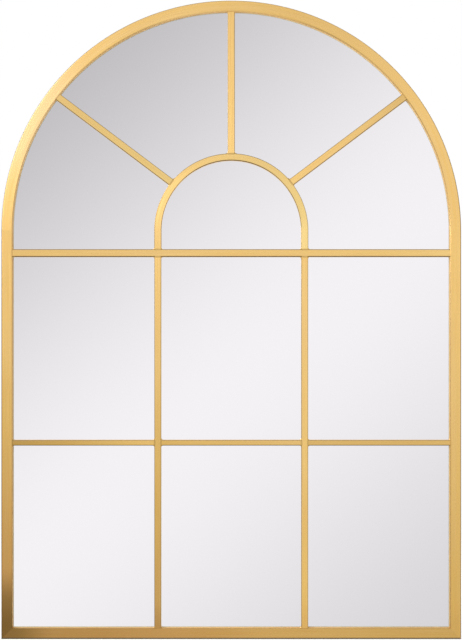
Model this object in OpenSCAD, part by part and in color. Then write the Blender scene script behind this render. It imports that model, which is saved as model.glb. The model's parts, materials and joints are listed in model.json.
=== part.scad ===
// Arched wall mirror: a gold tube frame with a fanlight grille over one sheet of mirror.
// Everything is drawn as seen from the front: x to the right, y up from the springline
// of the arch, and z out from the wall. on_wall() stands that drawing up, with the wall
// as the plane y = 0 and the origin midway between the two hanging holes.

/* [Frame] */
// Outside width of the frame
frame_w = 710; // [640:5:900]
// Outside height of the frame, foot to crown
frame_h = 986; // [900:2:1300]
// Face width of the frame tube
tube_w = 17; // [16.5:0.5:24]
// Wall thickness of the frame tube
tube_wall = 1.2; // [0.8:0.1:2]
// Outside edge radius of the frame tube
tube_r = 1.5; // [0.4:0.1:1.5]

/* [Grille] */
// Depth of every grille bar, front to back
bar_d = 6.5; // [4:0.5:12]
// How far the bars lie behind the face of the frame
bar_setback = 1.5; // [1.5:0.1:4]
// Edge radius of the grille bars
bar_r = 0.8; // [0.3:0.1:1.5]
// Radius of the inner arch to the middle of its bar, which also places the mullions
inner_arch_r = 113.5; // [80:0.5:150]
// Face width of the inner arch
inner_arch_w = 11; // [8:0.5:16]
// Face width of the two mullions
mullion_w = 10.5; // [8:0.5:16]
// Face width of the upper crossbar
upper_bar_w = 12; // [8:0.5:16]
// Middle of the upper crossbar below the springline
upper_bar_drop = 35; // [25:1:80]
// Face width of the lower crossbar
lower_bar_w = 8.5; // [8:0.5:16]
// Middle of the lower crossbar above the foot of the frame
lower_bar_up = 303; // [200:1:400]
// Face width of the three spokes
spoke_w = 11; // [8:0.5:16]
// Angle of the two slanted spokes above the springline
spoke_angle = 37; // [25:1:60]
// Height above the springline of the point that the slanted spokes aim at
spoke_aim = 4.5; // [0:0.5:10]

/* [Mirror and back] */
// Thickness of the mirror glass
glass_t = 4; // [3:0.5:6]
// Gap between the frame tube and the edge of the glass, which the setting blocks fill
edge_gap = 1; // [0.5:0.1:2]
// Gap between the frame tube and the edge of the backing board
board_gap = 0.3; // [0.2:0.1:1]
// Thickness of the foam sheet behind the glass
foam_t = 1; // [0.5:0.1:2]
// How far the foam sheet stays in from the edge of the glass
foam_inset = 8; // [4:1:20]
// Thickness of the backing board
board_t = 6; // [3:0.5:9]
// Thickness of the pads between bars and glass
pad_t = 1; // [0.5:0.1:2]
// Diameter of those pads
pad_dia = 7; // [4:0.5:8]
// Length of each setting block under the glass
block_l = 60; // [30:5:100]
// Middle of each setting block from the middle of the frame
block_x = 220; // [150:5:250]

/* [Turn buttons] */
// Length of a turn button
button_l = 34; // [26:1:40]
// Width of a turn button
button_w = 12; // [10:0.5:14]
// Thickness of a turn button
button_t = 1.5; // [1:0.1:2]
// Height of the finger lip at the free end
lip_h = 1; // [0.5:0.1:1.5]
// Width of that lip along the button
lip_w = 2; // [1:0.5:4]
// Thickness of the washer under a turn button
washer_t = 0.5; // [0.3:0.1:0.8]
// Outside diameter of that washer
washer_dia = 8; // [7:0.5:9]
// Angle of the first arch button above the springline
arch_button_angle = 24; // [15:1:30]
// Middle of the lower side buttons above the foot of the frame
side_button_up = 150; // [100:5:200]
// Distance between the two buttons on one side
side_button_pitch = 270; // [200:5:320]
// Distance of the bottom buttons from the middle
bottom_button_x = 150; // [100:5:200]

/* [Screws] */
// Diameter of the screw shanks
screw_dia = 4; // [3:0.1:4.5]
// Length of a screw under its head
screw_l = 9; // [7:0.5:12]
// Diameter of a screw head
head_dia = 7.2; // [6:0.1:8]
// Height of a screw head
head_h = 2; // [1.5:0.1:2]
// Width of the cross recess in a head
recess_w = 0.9; // [0.6:0.1:1.2]
// Depth of the cross recess
recess_h = 1.1; // [0.6:0.1:1.3]
// Gap all round a shank in its hole
screw_gap = 0.05; // [0.02:0.01:0.1]

/* [Hangers] */
// Hanging holes below the springline
hang_drop = 42; // [40:1:90]
// Width of a hanger plate
hanger_w = 16; // [14:0.5:16]
// Thickness of a hanger plate
hanger_t = 1.5; // [1.2:0.1:2]
// Diameter of the hole that lets the wall screw's head in
entry_dia = 9; // [8:0.5:10]
// Width of the slot that the wall screw then slides up
slot_w = 4.5; // [4:0.1:5]
// Length of that slot, from the middle of the hole to the middle of its round end
slot_l = 12; // [8:1:14]
// Plate left past the hole and past the end of the slot
hanger_margin = 5; // [4:0.5:7]
// Length of each screwed end of the plate
flange_l = 13; // [10:0.5:14]

/* [Wall bumpers] */
// Thickness of the bumpers, which sets the frame's distance from the wall
bumper_t = 5; // [4.5:0.1:8]
// Diameter of a bumper where it sticks to the tube
bumper_dia = 15; // [10:0.5:16]
// Diameter of a bumper where it meets the wall
bumper_tip_dia = 12; // [8:0.5:14]
// Middle of the lower bumpers from the outside of the frame
bumper_in = 55; // [30:5:80]

/* [Hidden] */
$fn = 96;
arch_fn = 240; // sides drawn on the large arcs
cut = 1; // how far a cutting shape runs past what it cuts

frame_r = frame_w / 2;
inside_r = frame_r - tube_w;
tube_mid_r = frame_r - tube_w / 2;
foot_y = frame_r - frame_h;
inside_foot_y = foot_y + tube_w;
rail_mid_y = foot_y + tube_w / 2;

// Planes at their distance from the wall
tube_back_z = bumper_t;
board_front_z = tube_back_z + board_t;
glass_back_z = board_front_z + foam_t;
glass_front_z = glass_back_z + glass_t;
bar_back_z = glass_front_z + pad_t;
bar_front_z = bar_back_z + bar_d;
tube_front_z = bar_front_z + bar_setback;
tube_d = tube_front_z - tube_back_z;
washer_back_z = tube_back_z - washer_t;
button_back_z = washer_back_z - button_t;

// Lines of the grille
upper_bar_y = -upper_bar_drop;
upper_bar_top_y = upper_bar_y + upper_bar_w / 2;
upper_bar_foot_y = upper_bar_y - upper_bar_w / 2;
lower_bar_y = foot_y + lower_bar_up;
mullion_x = inner_arch_r;
spoke_from_r = inner_arch_r + inner_arch_w / 2;
side_pane_x = (mullion_x + inside_r) / 2;

// The raised hanger plate, measured from its hole
pad_low = -entry_dia / 2 - hanger_margin;
pad_high = slot_l + slot_w / 2 + hanger_margin;
hanger_rise = tube_back_z - hanger_t;
hanger_low = pad_low - hanger_rise - flange_l;
hanger_high = pad_high + hanger_rise + flange_l;
hanger_screw_ys = [hanger_low + flange_l / 2, hanger_high - flange_l / 2];
hanger_bend = hanger_t * (sqrt(2) - 1); // keeps a 45 degree step as thick as the plate
hole_dia = screw_dia + 2 * screw_gap;

// A turn button's place: [x, y, direction in which it points]
arch_button_step = (180 - 2 * arch_button_angle) / 3;
arch_button_spots = [
    for (i = [0:3])
        let (a = arch_button_angle + i * arch_button_step)
        [tube_mid_r * cos(a), tube_mid_r * sin(a), a + 180]
];
side_button_ys = [for (i = [0:1]) foot_y + side_button_up + i * side_button_pitch];
left_button_spots = [for (y = side_button_ys) [-tube_mid_r, y, 0]];
right_button_spots = [for (y = side_button_ys) [tube_mid_r, y, 180]];
bottom_button_spots = [for (side = [-1, 1]) [side * bottom_button_x, rail_mid_y, 90]];
button_spots = concat(arch_button_spots, left_button_spots, right_button_spots, bottom_button_spots);

hanger_screw_spots = [
    for (side = [-1, 1], y = hanger_screw_ys)
        [side * tube_mid_r, y - hang_drop, 0]
];

// The arch bumpers stand midway between the first two buttons of each side
bumper_angle = arch_button_angle + arch_button_step / 2;
bumper_spots = concat(
    [for (a = [bumper_angle, 180 - bumper_angle]) [tube_mid_r * cos(a), tube_mid_r * sin(a), 0]],
    [for (side = [-1, 1]) [side * (frame_r - bumper_in), rail_mid_y, 0]]
);

frame_gold = "#e9bf77";
grille_gold = "#ecc47c";
silver = "#e4e2e5";
zinc = "#b9bcc0";

// Shared helpers

module on_wall() {
    rotate([90, 0, 0]) translate([0, hang_drop, 0]) children();
}

// Puts a shape at a spot, turned to point the spot's way
module at_spot(spot) {
    translate([spot[0], spot[1], 0]) rotate(spot[2]) children();
}

// A rectangle from the origin with all four corners rounded
module rounded_rect(w, h, r) {
    translate([r, 0]) square([w - 2 * r, h]);
    translate([0, r]) square([w, h - 2 * r]);
    for (x = [r, w - r], y = [r, h - r]) translate([x, y]) circle(r);
}

// A straight run that starts at the origin and goes up, centred on x, at height z
module upright(length, w, back_z) {
    translate([-w / 2, length, back_z]) rotate([90, 0, 0]) linear_extrude(length) children();
}

// The frame tube's cut end, drawn from the origin
module tube_section() {
    difference() {
        rounded_rect(tube_w, tube_d, tube_r);
        translate([tube_wall, tube_wall]) square([tube_w - 2 * tube_wall, tube_d - 2 * tube_wall]);
    }
}

module straight_tube(length) {
    upright(length, tube_w, tube_back_z) tube_section();
}

module straight_bar(length, w) {
    upright(length, w, bar_back_z) rounded_rect(w, bar_d, bar_r);
}

// A bar that lies along x, from x1 to x2, with its middle at y
module cross_bar(x1, x2, y, w) {
    translate([x2, y, 0]) rotate(90) straight_bar(x2 - x1, w);
}

// The space on the inner side of the 45 degree joints of the two lower corners
module stile_mitre(side) {
    linear_extrude(tube_front_z + cut)
        polygon([
            [side * (frame_r + cut), foot_y - cut],
            [side * (inside_r - cut), inside_foot_y + cut],
            [side * (inside_r - cut), cut],
            [side * (frame_r + cut), cut]
        ]);
}

module rail_mitre() {
    linear_extrude(tube_front_z + cut)
        polygon([
            [-frame_r - cut, foot_y - cut],
            [frame_r + cut, foot_y - cut],
            [inside_r - cut, inside_foot_y + cut],
            [-inside_r + cut, inside_foot_y + cut]
        ]);
}

// Holes through the back wall of the tube for the screws at the given spots
module screw_holes(spots) {
    for (spot = spots)
        at_spot(spot)
            translate([0, 0, tube_back_z - cut])
                cylinder(d = hole_dia, h = tube_wall + 2 * cut);
}

// A pan-head screw whose head stands on the plane z = seat_z, driven away from the wall
module pan_head_screw(seat_z) {
    tip_h = screw_dia / 2;
    translate([0, 0, seat_z]) {
        cylinder(d = screw_dia, h = screw_l - tip_h);
        translate([0, 0, screw_l - tip_h]) cylinder(d1 = screw_dia, d2 = screw_dia / 4, h = tip_h);
        difference() {
            union() {
                translate([0, 0, -head_h / 2]) cylinder(d = head_dia, h = head_h / 2);
                translate([0, 0, -head_h])
                    cylinder(d1 = head_dia - head_h, d2 = head_dia, h = head_h / 2);
            }
            for (turn = [0, 90])
                rotate(turn)
                    translate([-head_dia / 4, -recess_w / 2, -head_h - cut])
                        cube([head_dia / 2, recess_w, recess_h + cut]);
        }
    }
}

// An arched sheet that follows the inside of the frame, at a distance from it
module arched_outline(inset) {
    r = inside_r - inset;
    difference() {
        circle(r, $fn = arch_fn);
        translate([-r - cut, -r - cut]) square([2 * (r + cut), r + cut]);
    }
    translate([-r, inside_foot_y + inset]) square([2 * r, -inside_foot_y - inset]);
}

module arched_sheet(inset, back_z, thickness) {
    translate([0, 0, back_z]) linear_extrude(thickness) arched_outline(inset);
}

// Frame

module arch_tube() {
    color(frame_gold)
        on_wall()
            difference() {
                rotate_extrude(angle = 180, $fn = arch_fn)
                    translate([inside_r, tube_back_z]) tube_section();
                screw_holes(arch_button_spots);
            }
}

module stile(side, button_spots_here) {
    color(frame_gold)
        on_wall()
            difference() {
                intersection() {
                    translate([side * tube_mid_r, foot_y - cut, 0]) straight_tube(-foot_y + cut);
                    stile_mitre(side);
                }
                screw_holes(button_spots_here);
                screw_holes([for (spot = hanger_screw_spots) if (spot[0] * side > 0) spot]);
            }
}

module left_stile() {
    stile(-1, left_button_spots);
}

module right_stile() {
    stile(1, right_button_spots);
}

module bottom_rail() {
    color(frame_gold)
        on_wall()
            difference() {
                intersection() {
                    translate([frame_r + cut, rail_mid_y, 0])
                        rotate(90) straight_tube(frame_w + 2 * cut);
                    rail_mitre();
                }
                screw_holes(bottom_button_spots);
            }
}

// Grille

module inner_arch() {
    color(grille_gold)
        on_wall() {
            rotate_extrude(angle = 180, $fn = arch_fn)
                translate([inner_arch_r - inner_arch_w / 2, bar_back_z])
                    rounded_rect(inner_arch_w, bar_d, bar_r);
            for (side = [-1, 1])
                translate([side * inner_arch_r, upper_bar_top_y, 0])
                    straight_bar(-upper_bar_top_y, inner_arch_w);
        }
}

module mullion(side) {
    color(grille_gold)
        on_wall()
            translate([side * mullion_x, inside_foot_y, 0])
                straight_bar(upper_bar_foot_y - inside_foot_y, mullion_w);
}

module upper_crossbar() {
    color(grille_gold) on_wall() cross_bar(-inside_r, inside_r, upper_bar_y, upper_bar_w);
}

// One length of the lower crossbar
module lower_crossbar(x1, x2) {
    color(grille_gold) on_wall() cross_bar(x1, x2, lower_bar_y, lower_bar_w);
}

// A spoke in the given direction from its aim point, its ends shaped to the two arches
module spoke(direction) {
    color(grille_gold)
        on_wall()
            intersection() {
                difference() {
                    translate([0, spoke_aim, 0])
                        rotate(direction - 90) straight_bar(inside_r + cut, spoke_w);
                    cylinder(r = spoke_from_r, h = tube_front_z);
                }
                cylinder(r = inside_r, h = tube_front_z, $fn = arch_fn);
            }
}

// Mirror and back

module mirror_glass() {
    color(silver) on_wall() arched_sheet(edge_gap, glass_back_z, glass_t);
}

module foam_sheet() {
    color("white") on_wall() arched_sheet(edge_gap + foam_inset, board_front_z, foam_t);
}

module backing_board() {
    color("#8a6a4c") on_wall() arched_sheet(board_gap, tube_back_z, board_t);
}

module glass_pads() {
    pane_mid_ys = [(upper_bar_y + lower_bar_y) / 2, (lower_bar_y + inside_foot_y) / 2];
    spoke_mid_r = (spoke_from_r + inside_r) / 2;
    spots = concat(
        [for (x = [-mullion_x, mullion_x], y = pane_mid_ys) [x, y, 0]],
        [for (x = [-side_pane_x, 0, side_pane_x], y = [upper_bar_y, lower_bar_y]) [x, y, 0]],
        [for (a = [spoke_angle, 90, 180 - spoke_angle])
            [spoke_mid_r * cos(a), spoke_aim + spoke_mid_r * sin(a), 0]],
        [for (a = [45 + spoke_angle / 2, 135 - spoke_angle / 2])
            [inner_arch_r * cos(a), inner_arch_r * sin(a), 0]]
    );
    color("#5c5a58")
        on_wall()
            for (spot = spots)
                at_spot(spot) translate([0, 0, glass_front_z]) cylinder(d = pad_dia, h = pad_t);
}

module setting_blocks() {
    color("#3a3a3a")
        on_wall()
            for (side = [-1, 1])
                translate([side * block_x - block_l / 2, inside_foot_y, glass_back_z])
                    cube([block_l, edge_gap, glass_t]);
}

// Turn buttons

module turn_button(spot) {
    pivot_x = button_w / 2;
    color(zinc)
        on_wall()
            at_spot(spot)
                translate([0, 0, button_back_z])
                    difference() {
                        union() {
                            linear_extrude(button_t) {
                                circle(d = button_w);
                                translate([0, -button_w / 2])
                                    square([button_l - 2 * pivot_x, button_w]);
                                translate([button_l - 2 * pivot_x, 0]) circle(d = button_w);
                            }
                            translate([button_l - pivot_x - 2 * lip_w, -button_w / 4, -lip_h])
                                cube([lip_w, button_w / 2, lip_h]);
                        }
                        translate([0, 0, -cut]) cylinder(d = hole_dia, h = button_t + 2 * cut);
                    }
}

module turn_button_washers() {
    color(zinc)
        on_wall()
            for (spot = button_spots)
                at_spot(spot)
                    translate([0, 0, washer_back_z])
                        difference() {
                            cylinder(d = washer_dia, h = washer_t);
                            translate([0, 0, -cut]) cylinder(d = hole_dia, h = washer_t + 2 * cut);
                        }
}

module turn_button_screws() {
    color(zinc) on_wall() for (spot = button_spots) at_spot(spot) pan_head_screw(button_back_z);
}

// Hangers

// The bent plate from the side: x is the height over the hole, y the distance from the wall
module hanger_section() {
    polygon([
        [hanger_low, tube_back_z],
        [hanger_low, hanger_rise],
        [pad_low - hanger_rise, hanger_rise],
        [pad_low, 0],
        [pad_high, 0],
        [pad_high + hanger_rise, hanger_rise],
        [hanger_high, hanger_rise],
        [hanger_high, tube_back_z],
        [pad_high + hanger_rise - hanger_bend, tube_back_z],
        [pad_high - hanger_bend, hanger_t],
        [pad_low + hanger_bend, hanger_t],
        [pad_low - hanger_rise + hanger_bend, tube_back_z]
    ]);
}

module hanger(side) {
    color(zinc)
        on_wall()
            translate([side * tube_mid_r, -hang_drop, 0])
                difference() {
                    translate([-hanger_w / 2, 0, 0])
                        rotate([90, 0, 90]) linear_extrude(hanger_w) hanger_section();
                    translate([0, 0, -cut]) {
                        cylinder(d = entry_dia, h = hanger_t + 2 * cut);
                        translate([-slot_w / 2, 0, 0]) cube([slot_w, slot_l, hanger_t + 2 * cut]);
                        translate([0, slot_l, 0]) cylinder(d = slot_w, h = hanger_t + 2 * cut);
                    }
                    for (y = hanger_screw_ys)
                        translate([0, y, hanger_rise - cut])
                            cylinder(d = hole_dia, h = hanger_t + 2 * cut);
                }
}

module hanger_screws() {
    color(zinc) on_wall() for (spot = hanger_screw_spots) at_spot(spot) pan_head_screw(hanger_rise);
}

module wall_bumpers() {
    color("#2b2b2b")
        on_wall()
            for (spot = bumper_spots)
                at_spot(spot) cylinder(d1 = bumper_tip_dia, d2 = bumper_dia, h = bumper_t);
}

arch_tube();
left_stile();
right_stile();
bottom_rail();
inner_arch();
mullion(-1);  // left_mullion
mullion(1);  // right_mullion
upper_crossbar();
lower_crossbar(-inside_r, -mullion_x - mullion_w / 2);  // lower_crossbar_left
lower_crossbar(-mullion_x + mullion_w / 2, mullion_x - mullion_w / 2);  // lower_crossbar_centre
lower_crossbar(mullion_x + mullion_w / 2, inside_r);  // lower_crossbar_right
spoke(90);  // top_spoke
spoke(180 - spoke_angle);  // left_spoke
spoke(spoke_angle);  // right_spoke
mirror_glass();
glass_pads();
setting_blocks();
foam_sheet();
backing_board();
turn_button(arch_button_spots[0]);  // turn_button_arch_1
turn_button(arch_button_spots[1]);  // turn_button_arch_2
turn_button(arch_button_spots[2]);  // turn_button_arch_3
turn_button(arch_button_spots[3]);  // turn_button_arch_4
turn_button(left_button_spots[0]);  // turn_button_left_low
turn_button(left_button_spots[1]);  // turn_button_left_high
turn_button(right_button_spots[0]);  // turn_button_right_low
turn_button(right_button_spots[1]);  // turn_button_right_high
turn_button(bottom_button_spots[0]);  // turn_button_bottom_left
turn_button(bottom_button_spots[1]);  // turn_button_bottom_right
turn_button_washers();
turn_button_screws();
hanger(-1);  // hanger_left
hanger(1);  // hanger_right
hanger_screws();
wall_bumpers();
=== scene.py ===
"""Arched wall mirror: its looks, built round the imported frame.

Everything is in metres in the frame's own axes. X runs to the right as seen from the
front, Y runs into the wall and Z runs up, with the origin midway between the hang points.
First come the node trees and the finishes, then the sub-assemblies from the frame to the
wall fittings, and last the studio that they are seen in.
"""

import json
import logging
import math
from collections.abc import Mapping, Sequence
from dataclasses import dataclass
from enum import Enum

import bmesh
import bpy
from mathutils import Matrix, Vector


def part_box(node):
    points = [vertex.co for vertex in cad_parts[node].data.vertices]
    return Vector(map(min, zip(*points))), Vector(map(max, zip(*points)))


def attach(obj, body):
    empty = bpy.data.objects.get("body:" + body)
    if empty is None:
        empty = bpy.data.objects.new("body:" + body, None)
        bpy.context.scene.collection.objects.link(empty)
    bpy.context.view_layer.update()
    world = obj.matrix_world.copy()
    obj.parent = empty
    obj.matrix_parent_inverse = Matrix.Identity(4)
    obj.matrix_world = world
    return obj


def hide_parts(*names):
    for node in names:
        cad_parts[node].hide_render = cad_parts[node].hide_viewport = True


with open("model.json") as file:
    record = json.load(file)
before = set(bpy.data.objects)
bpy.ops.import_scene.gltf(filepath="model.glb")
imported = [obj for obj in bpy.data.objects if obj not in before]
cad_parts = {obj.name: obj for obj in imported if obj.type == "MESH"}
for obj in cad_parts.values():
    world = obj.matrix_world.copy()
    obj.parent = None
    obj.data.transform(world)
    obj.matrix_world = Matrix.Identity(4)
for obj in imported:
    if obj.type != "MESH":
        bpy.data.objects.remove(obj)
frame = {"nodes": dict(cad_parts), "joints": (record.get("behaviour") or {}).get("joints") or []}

LOG = logging.getLogger("arched_wall_mirror")
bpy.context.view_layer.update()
FRAME_BODY = "frame"
MM = 0.001

Pair = tuple[float, float]
Point2 = tuple[float, float]
Triple = tuple[float, float, float]
Colour = tuple[float, float, float]
Finish = bpy.types.Material
Mesh = bpy.types.Mesh
Piece = bpy.types.Object
Socket = bpy.types.NodeSocket

# Painted light and shade on each tube or bar at its start and its end, where it differs
# from the rest: above 0 the share of the shade colour, below 0 the share of the bright one
PAINTED_TONE = {
    "left_stile": (0.07, 0.06),
    "right_stile": (0.14, 0.02),
    "bottom_rail": (-0.03, 0.19),
    "inner_arch": (0.1, -0.5),
    "left_mullion": (0.14, 0.06),
    "right_mullion": (0.0, 0.04),
    "upper_crossbar": (0.1, -0.1),
    "lower_crossbar_left": (0.34, -0.02),
    "lower_crossbar_centre": (0.1, 0.08),
    "lower_crossbar_right": (0.17, 0.17),
    "top_spoke": (0.03, 0.25),
    "left_spoke": (-0.3, -0.16),
    "right_spoke": (-0.08, 0.2),
}

# Tone of the weld metal in the corners and grooves, and the bend in degrees above which
# its edges stay crisp
WELD_TONE = 0.3
WELD_CREASE = 50.0

# Points of a CAD mesh nearer to each other than this are one point
WELD_DISTANCE = 1e-6

# The solids of a node are put in order by places rounded to this many digits
ORDER_DIGITS = 4

# How much the large faces of a piece hold its shading, from 1 to 100
FACE_WEIGHT = 100

# The streaks of each tube and bar start at one of these many places, this far apart
GRAIN_PLACES = 97
GRAIN_STEP = 0.1


class Slot(Enum):
    """The record's material slots."""

    GOLD = "satin_gold"
    MIRROR = "mirror"
    BOARD = "board"
    FOAM = "foam"
    FELT = "felt"
    RUBBER = "rubber"
    ZINC = "zinc"


class Cut(Enum):
    """A mitre, as the slope of an end face forwards on the right side of the path."""

    RIGHT_AHEAD = 1.0
    LEFT_AHEAD = -1.0


class Side(Enum):
    """Left or right half of the mirror, as the nodes' names spell it."""

    LEFT = "left"
    RIGHT = "right"


@dataclass(frozen=True)
class Layout:
    """The places that the sub-assemblies share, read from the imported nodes."""

    left: float
    foot: float
    spring: float
    front: float
    back: float
    tube: float
    crown: float

    @classmethod
    def from_frame(cls) -> "Layout":
        """Reads the layout from the left stile and the arch tube.

        Returns:
            The layout.
        """
        low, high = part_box("left_stile")
        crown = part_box("arch_tube")[1].z
        return cls(low.x, low.z, high.z, low.y, high.y, high.x - low.x, crown)

    @property
    def inner(self) -> float:
        """Half the clear width inside the frame."""
        return -self.left - self.tube


# Node trees


class Kind(Enum):
    """What an attribute holds for each point, in Blender's words."""

    NUMBER = "FLOAT"
    VECTOR = "FLOAT_VECTOR"


class Blend(Enum):
    """How one colour is laid over another, in Blender's words."""

    COVER = "MIX"
    STAIN = "MULTIPLY"


class NodeWriter:
    """Adds nodes to one tree and joins them by socket name."""

    def __init__(self, tree: bpy.types.NodeTree) -> None:
        """Keeps the tree that the nodes go into."""
        self.tree = tree

    def add(
        self,
        kind: str,
        inputs: Mapping[str | int, object] | None = None,
        **settings: object,
    ) -> bpy.types.Node:
        """Adds one node.

        Args:
            kind: Blender's name for the type of node.
            inputs: A socket to link or a value to set, by input name or number.
            **settings: The node's own properties.

        Returns:
            The new node.
        """
        node = self.tree.nodes.new(kind)
        for name, value in settings.items():
            setattr(node, name, value)
        for key, value in (inputs or {}).items():
            self.feed(self.find(node, key), value)
        return node

    def result(
        self,
        kind: str,
        inputs: Mapping[str | int, object] | None = None,
        **settings: object,
    ) -> Socket:
        """Adds one node, as add does, and returns its first output in use."""
        return next(s for s in self.add(kind, inputs, **settings).outputs if s.enabled)

    def feed(self, socket: Socket, value: object) -> None:
        """Gives an input its value.

        Args:
            socket: The input.
            value: An output to link to it, or a plain value.
        """
        if isinstance(value, Socket):
            self.tree.links.new(value, socket)
        else:
            socket.default_value = value

    @staticmethod
    def find(node: bpy.types.Node, key: str | int) -> Socket:
        """Finds an input of a node.

        Args:
            node: The node.
            key: The input's number, or its name, which may be shared with inputs not in use.

        Returns:
            The input.
        """
        if isinstance(key, int):
            return node.inputs[key]
        return next(s for s in node.inputs if s.name == key and s.enabled)

    def math(self, operation: str, *values: object) -> Socket:
        """One math node on sockets or numbers."""
        return self.result("ShaderNodeMath", dict(enumerate(values)), operation=operation)

    def vector(self, operation: str, *values: object) -> Socket:
        """One vector math node on sockets or vectors."""
        return self.result("ShaderNodeVectorMath", dict(enumerate(values)), operation=operation)

    def scale(self, vector: Socket, factor: Socket) -> Socket:
        """A vector times a number."""
        inputs = {"Vector": vector, "Scale": factor}
        return self.result("ShaderNodeVectorMath", inputs, operation="SCALE")

    def split(self, vector: Socket) -> Sequence[Socket]:
        """The X, Y and Z of a vector."""
        return self.add("ShaderNodeSeparateXYZ", {"Vector": vector}).outputs

    def span(
        self,
        value: Socket,
        old: Pair,
        new: Sequence[object] = (0.0, 1.0),
        smooth: bool = False,
    ) -> Socket:
        """Carries a value from one span to another and stops it at the ends.

        Args:
            value: The value to carry over.
            old: The two ends of its own span.
            new: What it becomes at each, as numbers or sockets.
            smooth: Whether it eases in and out.

        Returns:
            The new value.
        """
        ends = {"From Min": old[0], "From Max": old[1], "To Min": new[0], "To Max": new[1]}
        return self.result(
            "ShaderNodeMapRange",
            {"Value": value, **ends},
            interpolation_type="SMOOTHSTEP" if smooth else "LINEAR",
        )

    def mix(
        self,
        share: float | Socket,
        first: Colour | Socket,
        second: Colour | Socket,
        blend: Blend = Blend.COVER,
    ) -> Socket:
        """Mixes two colours.

        Args:
            share: How much of the second there is, from 0 to 1.
            first: The colour below.
            second: The colour laid over it.
            blend: How it is laid over.

        Returns:
            The mixed colour.
        """
        pair = [(*c, 1.0) if isinstance(c, tuple) else c for c in (first, second)]
        return self.result(
            "ShaderNodeMix",
            {"Factor": share, "A": pair[0], "B": pair[1]},
            data_type="RGBA", blend_type=blend.value, clamp_factor=True,
        )


class GeometryTree(NodeWriter):
    """A geometry tree with named inputs, run once on an object to make its mesh."""

    def __init__(self, name: str) -> None:
        """Starts a tree that takes one geometry in and gives one out.

        Args:
            name: The tree's name.
        """
        super().__init__(bpy.data.node_groups.new(name, "GeometryNodeTree"))
        for way in ("INPUT", "OUTPUT"):
            self.tree.interface.new_socket(
                "Geometry", in_out=way, socket_type="NodeSocketGeometry"
            )
        self.inlet = self.tree.nodes.new("NodeGroupInput")
        self.outlet = self.tree.nodes.new("NodeGroupOutput")
        self.source = self.inlet.outputs["Geometry"]

    def named_input(self, name: str, kind: str = "Float") -> Socket:
        """Adds a named input to the tree.

        Args:
            name: The input's name.
            kind: Its type, such as Float, Int, Object or Material.

        Returns:
            The socket that gives the input's value to the nodes.
        """
        self.tree.interface.new_socket(
            name, in_out="INPUT", socket_type=f"NodeSocket{kind}"
        )
        return self.inlet.outputs[name]

    def attribute(self, name: str, kind: Kind = Kind.VECTOR) -> Socket:
        """Reads a named attribute."""
        inputs = {"Name": name}
        return self.result("GeometryNodeInputNamedAttribute", inputs, data_type=kind.value)

    def store(
        self, geometry: Socket, name: str, value: Socket, kind: Kind = Kind.VECTOR
    ) -> Socket:
        """Stores a named attribute on the points of a geometry.

        Args:
            geometry: The geometry.
            name: The attribute's name.
            value: What each point gets.
            kind: What the attribute holds.

        Returns:
            The geometry with the attribute.
        """
        return self.result(
            "GeometryNodeStoreNamedAttribute",
            {"Geometry": geometry, "Name": name, "Value": value},
            data_type=kind.value, domain="POINT",
        )

    def finish(self, geometry: Socket) -> None:
        """Ends the tree in Realize Instances and Set Material.

        Args:
            geometry: What the tree has made.
        """
        material = self.named_input("Material", "Material")
        solid = self.result("GeometryNodeRealizeInstances", {"Geometry": geometry})
        dressed = self.result(
            "GeometryNodeSetMaterial", {"Geometry": solid, "Material": material}
        )
        self.feed(self.outlet.inputs[0], dressed)

    def run(self, name: str, base: Mesh, values: Mapping[str, object]) -> Piece:
        """Runs the tree on a mesh.

        Args:
            name: The name of the piece to make.
            base: The points or path that the tree works on.
            values: Values for the tree's named inputs. A number left out is 0.

        Returns:
            A new object with the tree's result as its plain mesh.
        """
        carrier = link_object(f"{name}_base", base)
        modifier = carrier.modifiers.new("tree", "NODES")
        modifier.node_group = self.tree
        for item in self.tree.interface.items_tree:
            if item.in_out == "INPUT" and item.name in values:
                modifier[item.identifier] = values[item.name]
        mesh = evaluated_mesh(carrier)
        bpy.data.objects.remove(carrier)
        return link_object(name, mesh)


class ShaderWriter(NodeWriter):
    """The node tree of one material, round one Principled shader."""

    def __init__(self, name: str) -> None:
        """Starts a material with an empty tree and its main shader.

        Args:
            name: The material's name.
        """
        self.material = bpy.data.materials.new(name)
        self.material.use_nodes = True
        super().__init__(self.material.node_tree)
        self.tree.nodes.clear()
        self.shader = self.add("ShaderNodeBsdfPrincipled")
        self.output = self.add(
            "ShaderNodeOutputMaterial", {"Surface": self.shader.outputs[0]}
        )

    def set(self, **values: object) -> None:
        """Sets or links inputs of the main shader.

        Args:
            **values: A value or a socket for each input, its name with underscores.
        """
        names = {"".join(s.name.lower().split()): s.name for s in self.shader.inputs}
        for key, value in values.items():
            self.feed(self.shader.inputs[names[key.replace("_", "")]], value)

    def place(self) -> Socket:
        """The point on the piece in the frame's own metres."""
        return self.add("ShaderNodeTexCoord").outputs["Object"]

    def own(self, name: str, kind: Kind = Kind.VECTOR) -> Socket:
        """An attribute that the piece's mesh carries."""
        outputs = self.add("ShaderNodeAttribute", attribute_name=name).outputs
        return outputs["Vector" if kind is Kind.VECTOR else "Fac"]

    def bump(self, height: Socket, strength: float, depth: float) -> None:
        """Raises the surface by a height pattern, depth in metres."""
        inputs = {"Height": height, "Strength": strength, "Distance": depth}
        self.set(normal=self.result("ShaderNodeBump", inputs))


# Pieces


def link_object(name: str, data: bpy.types.ID) -> Piece:
    """Puts data in the scene as an object at the origin.

    Args:
        name: The object's name, which its data gets too.
        data: A mesh, a camera or a light.

    Returns:
        The new object.
    """
    data.name = name
    piece = bpy.data.objects.new(name, data)
    bpy.context.scene.collection.objects.link(piece)
    return piece


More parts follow.
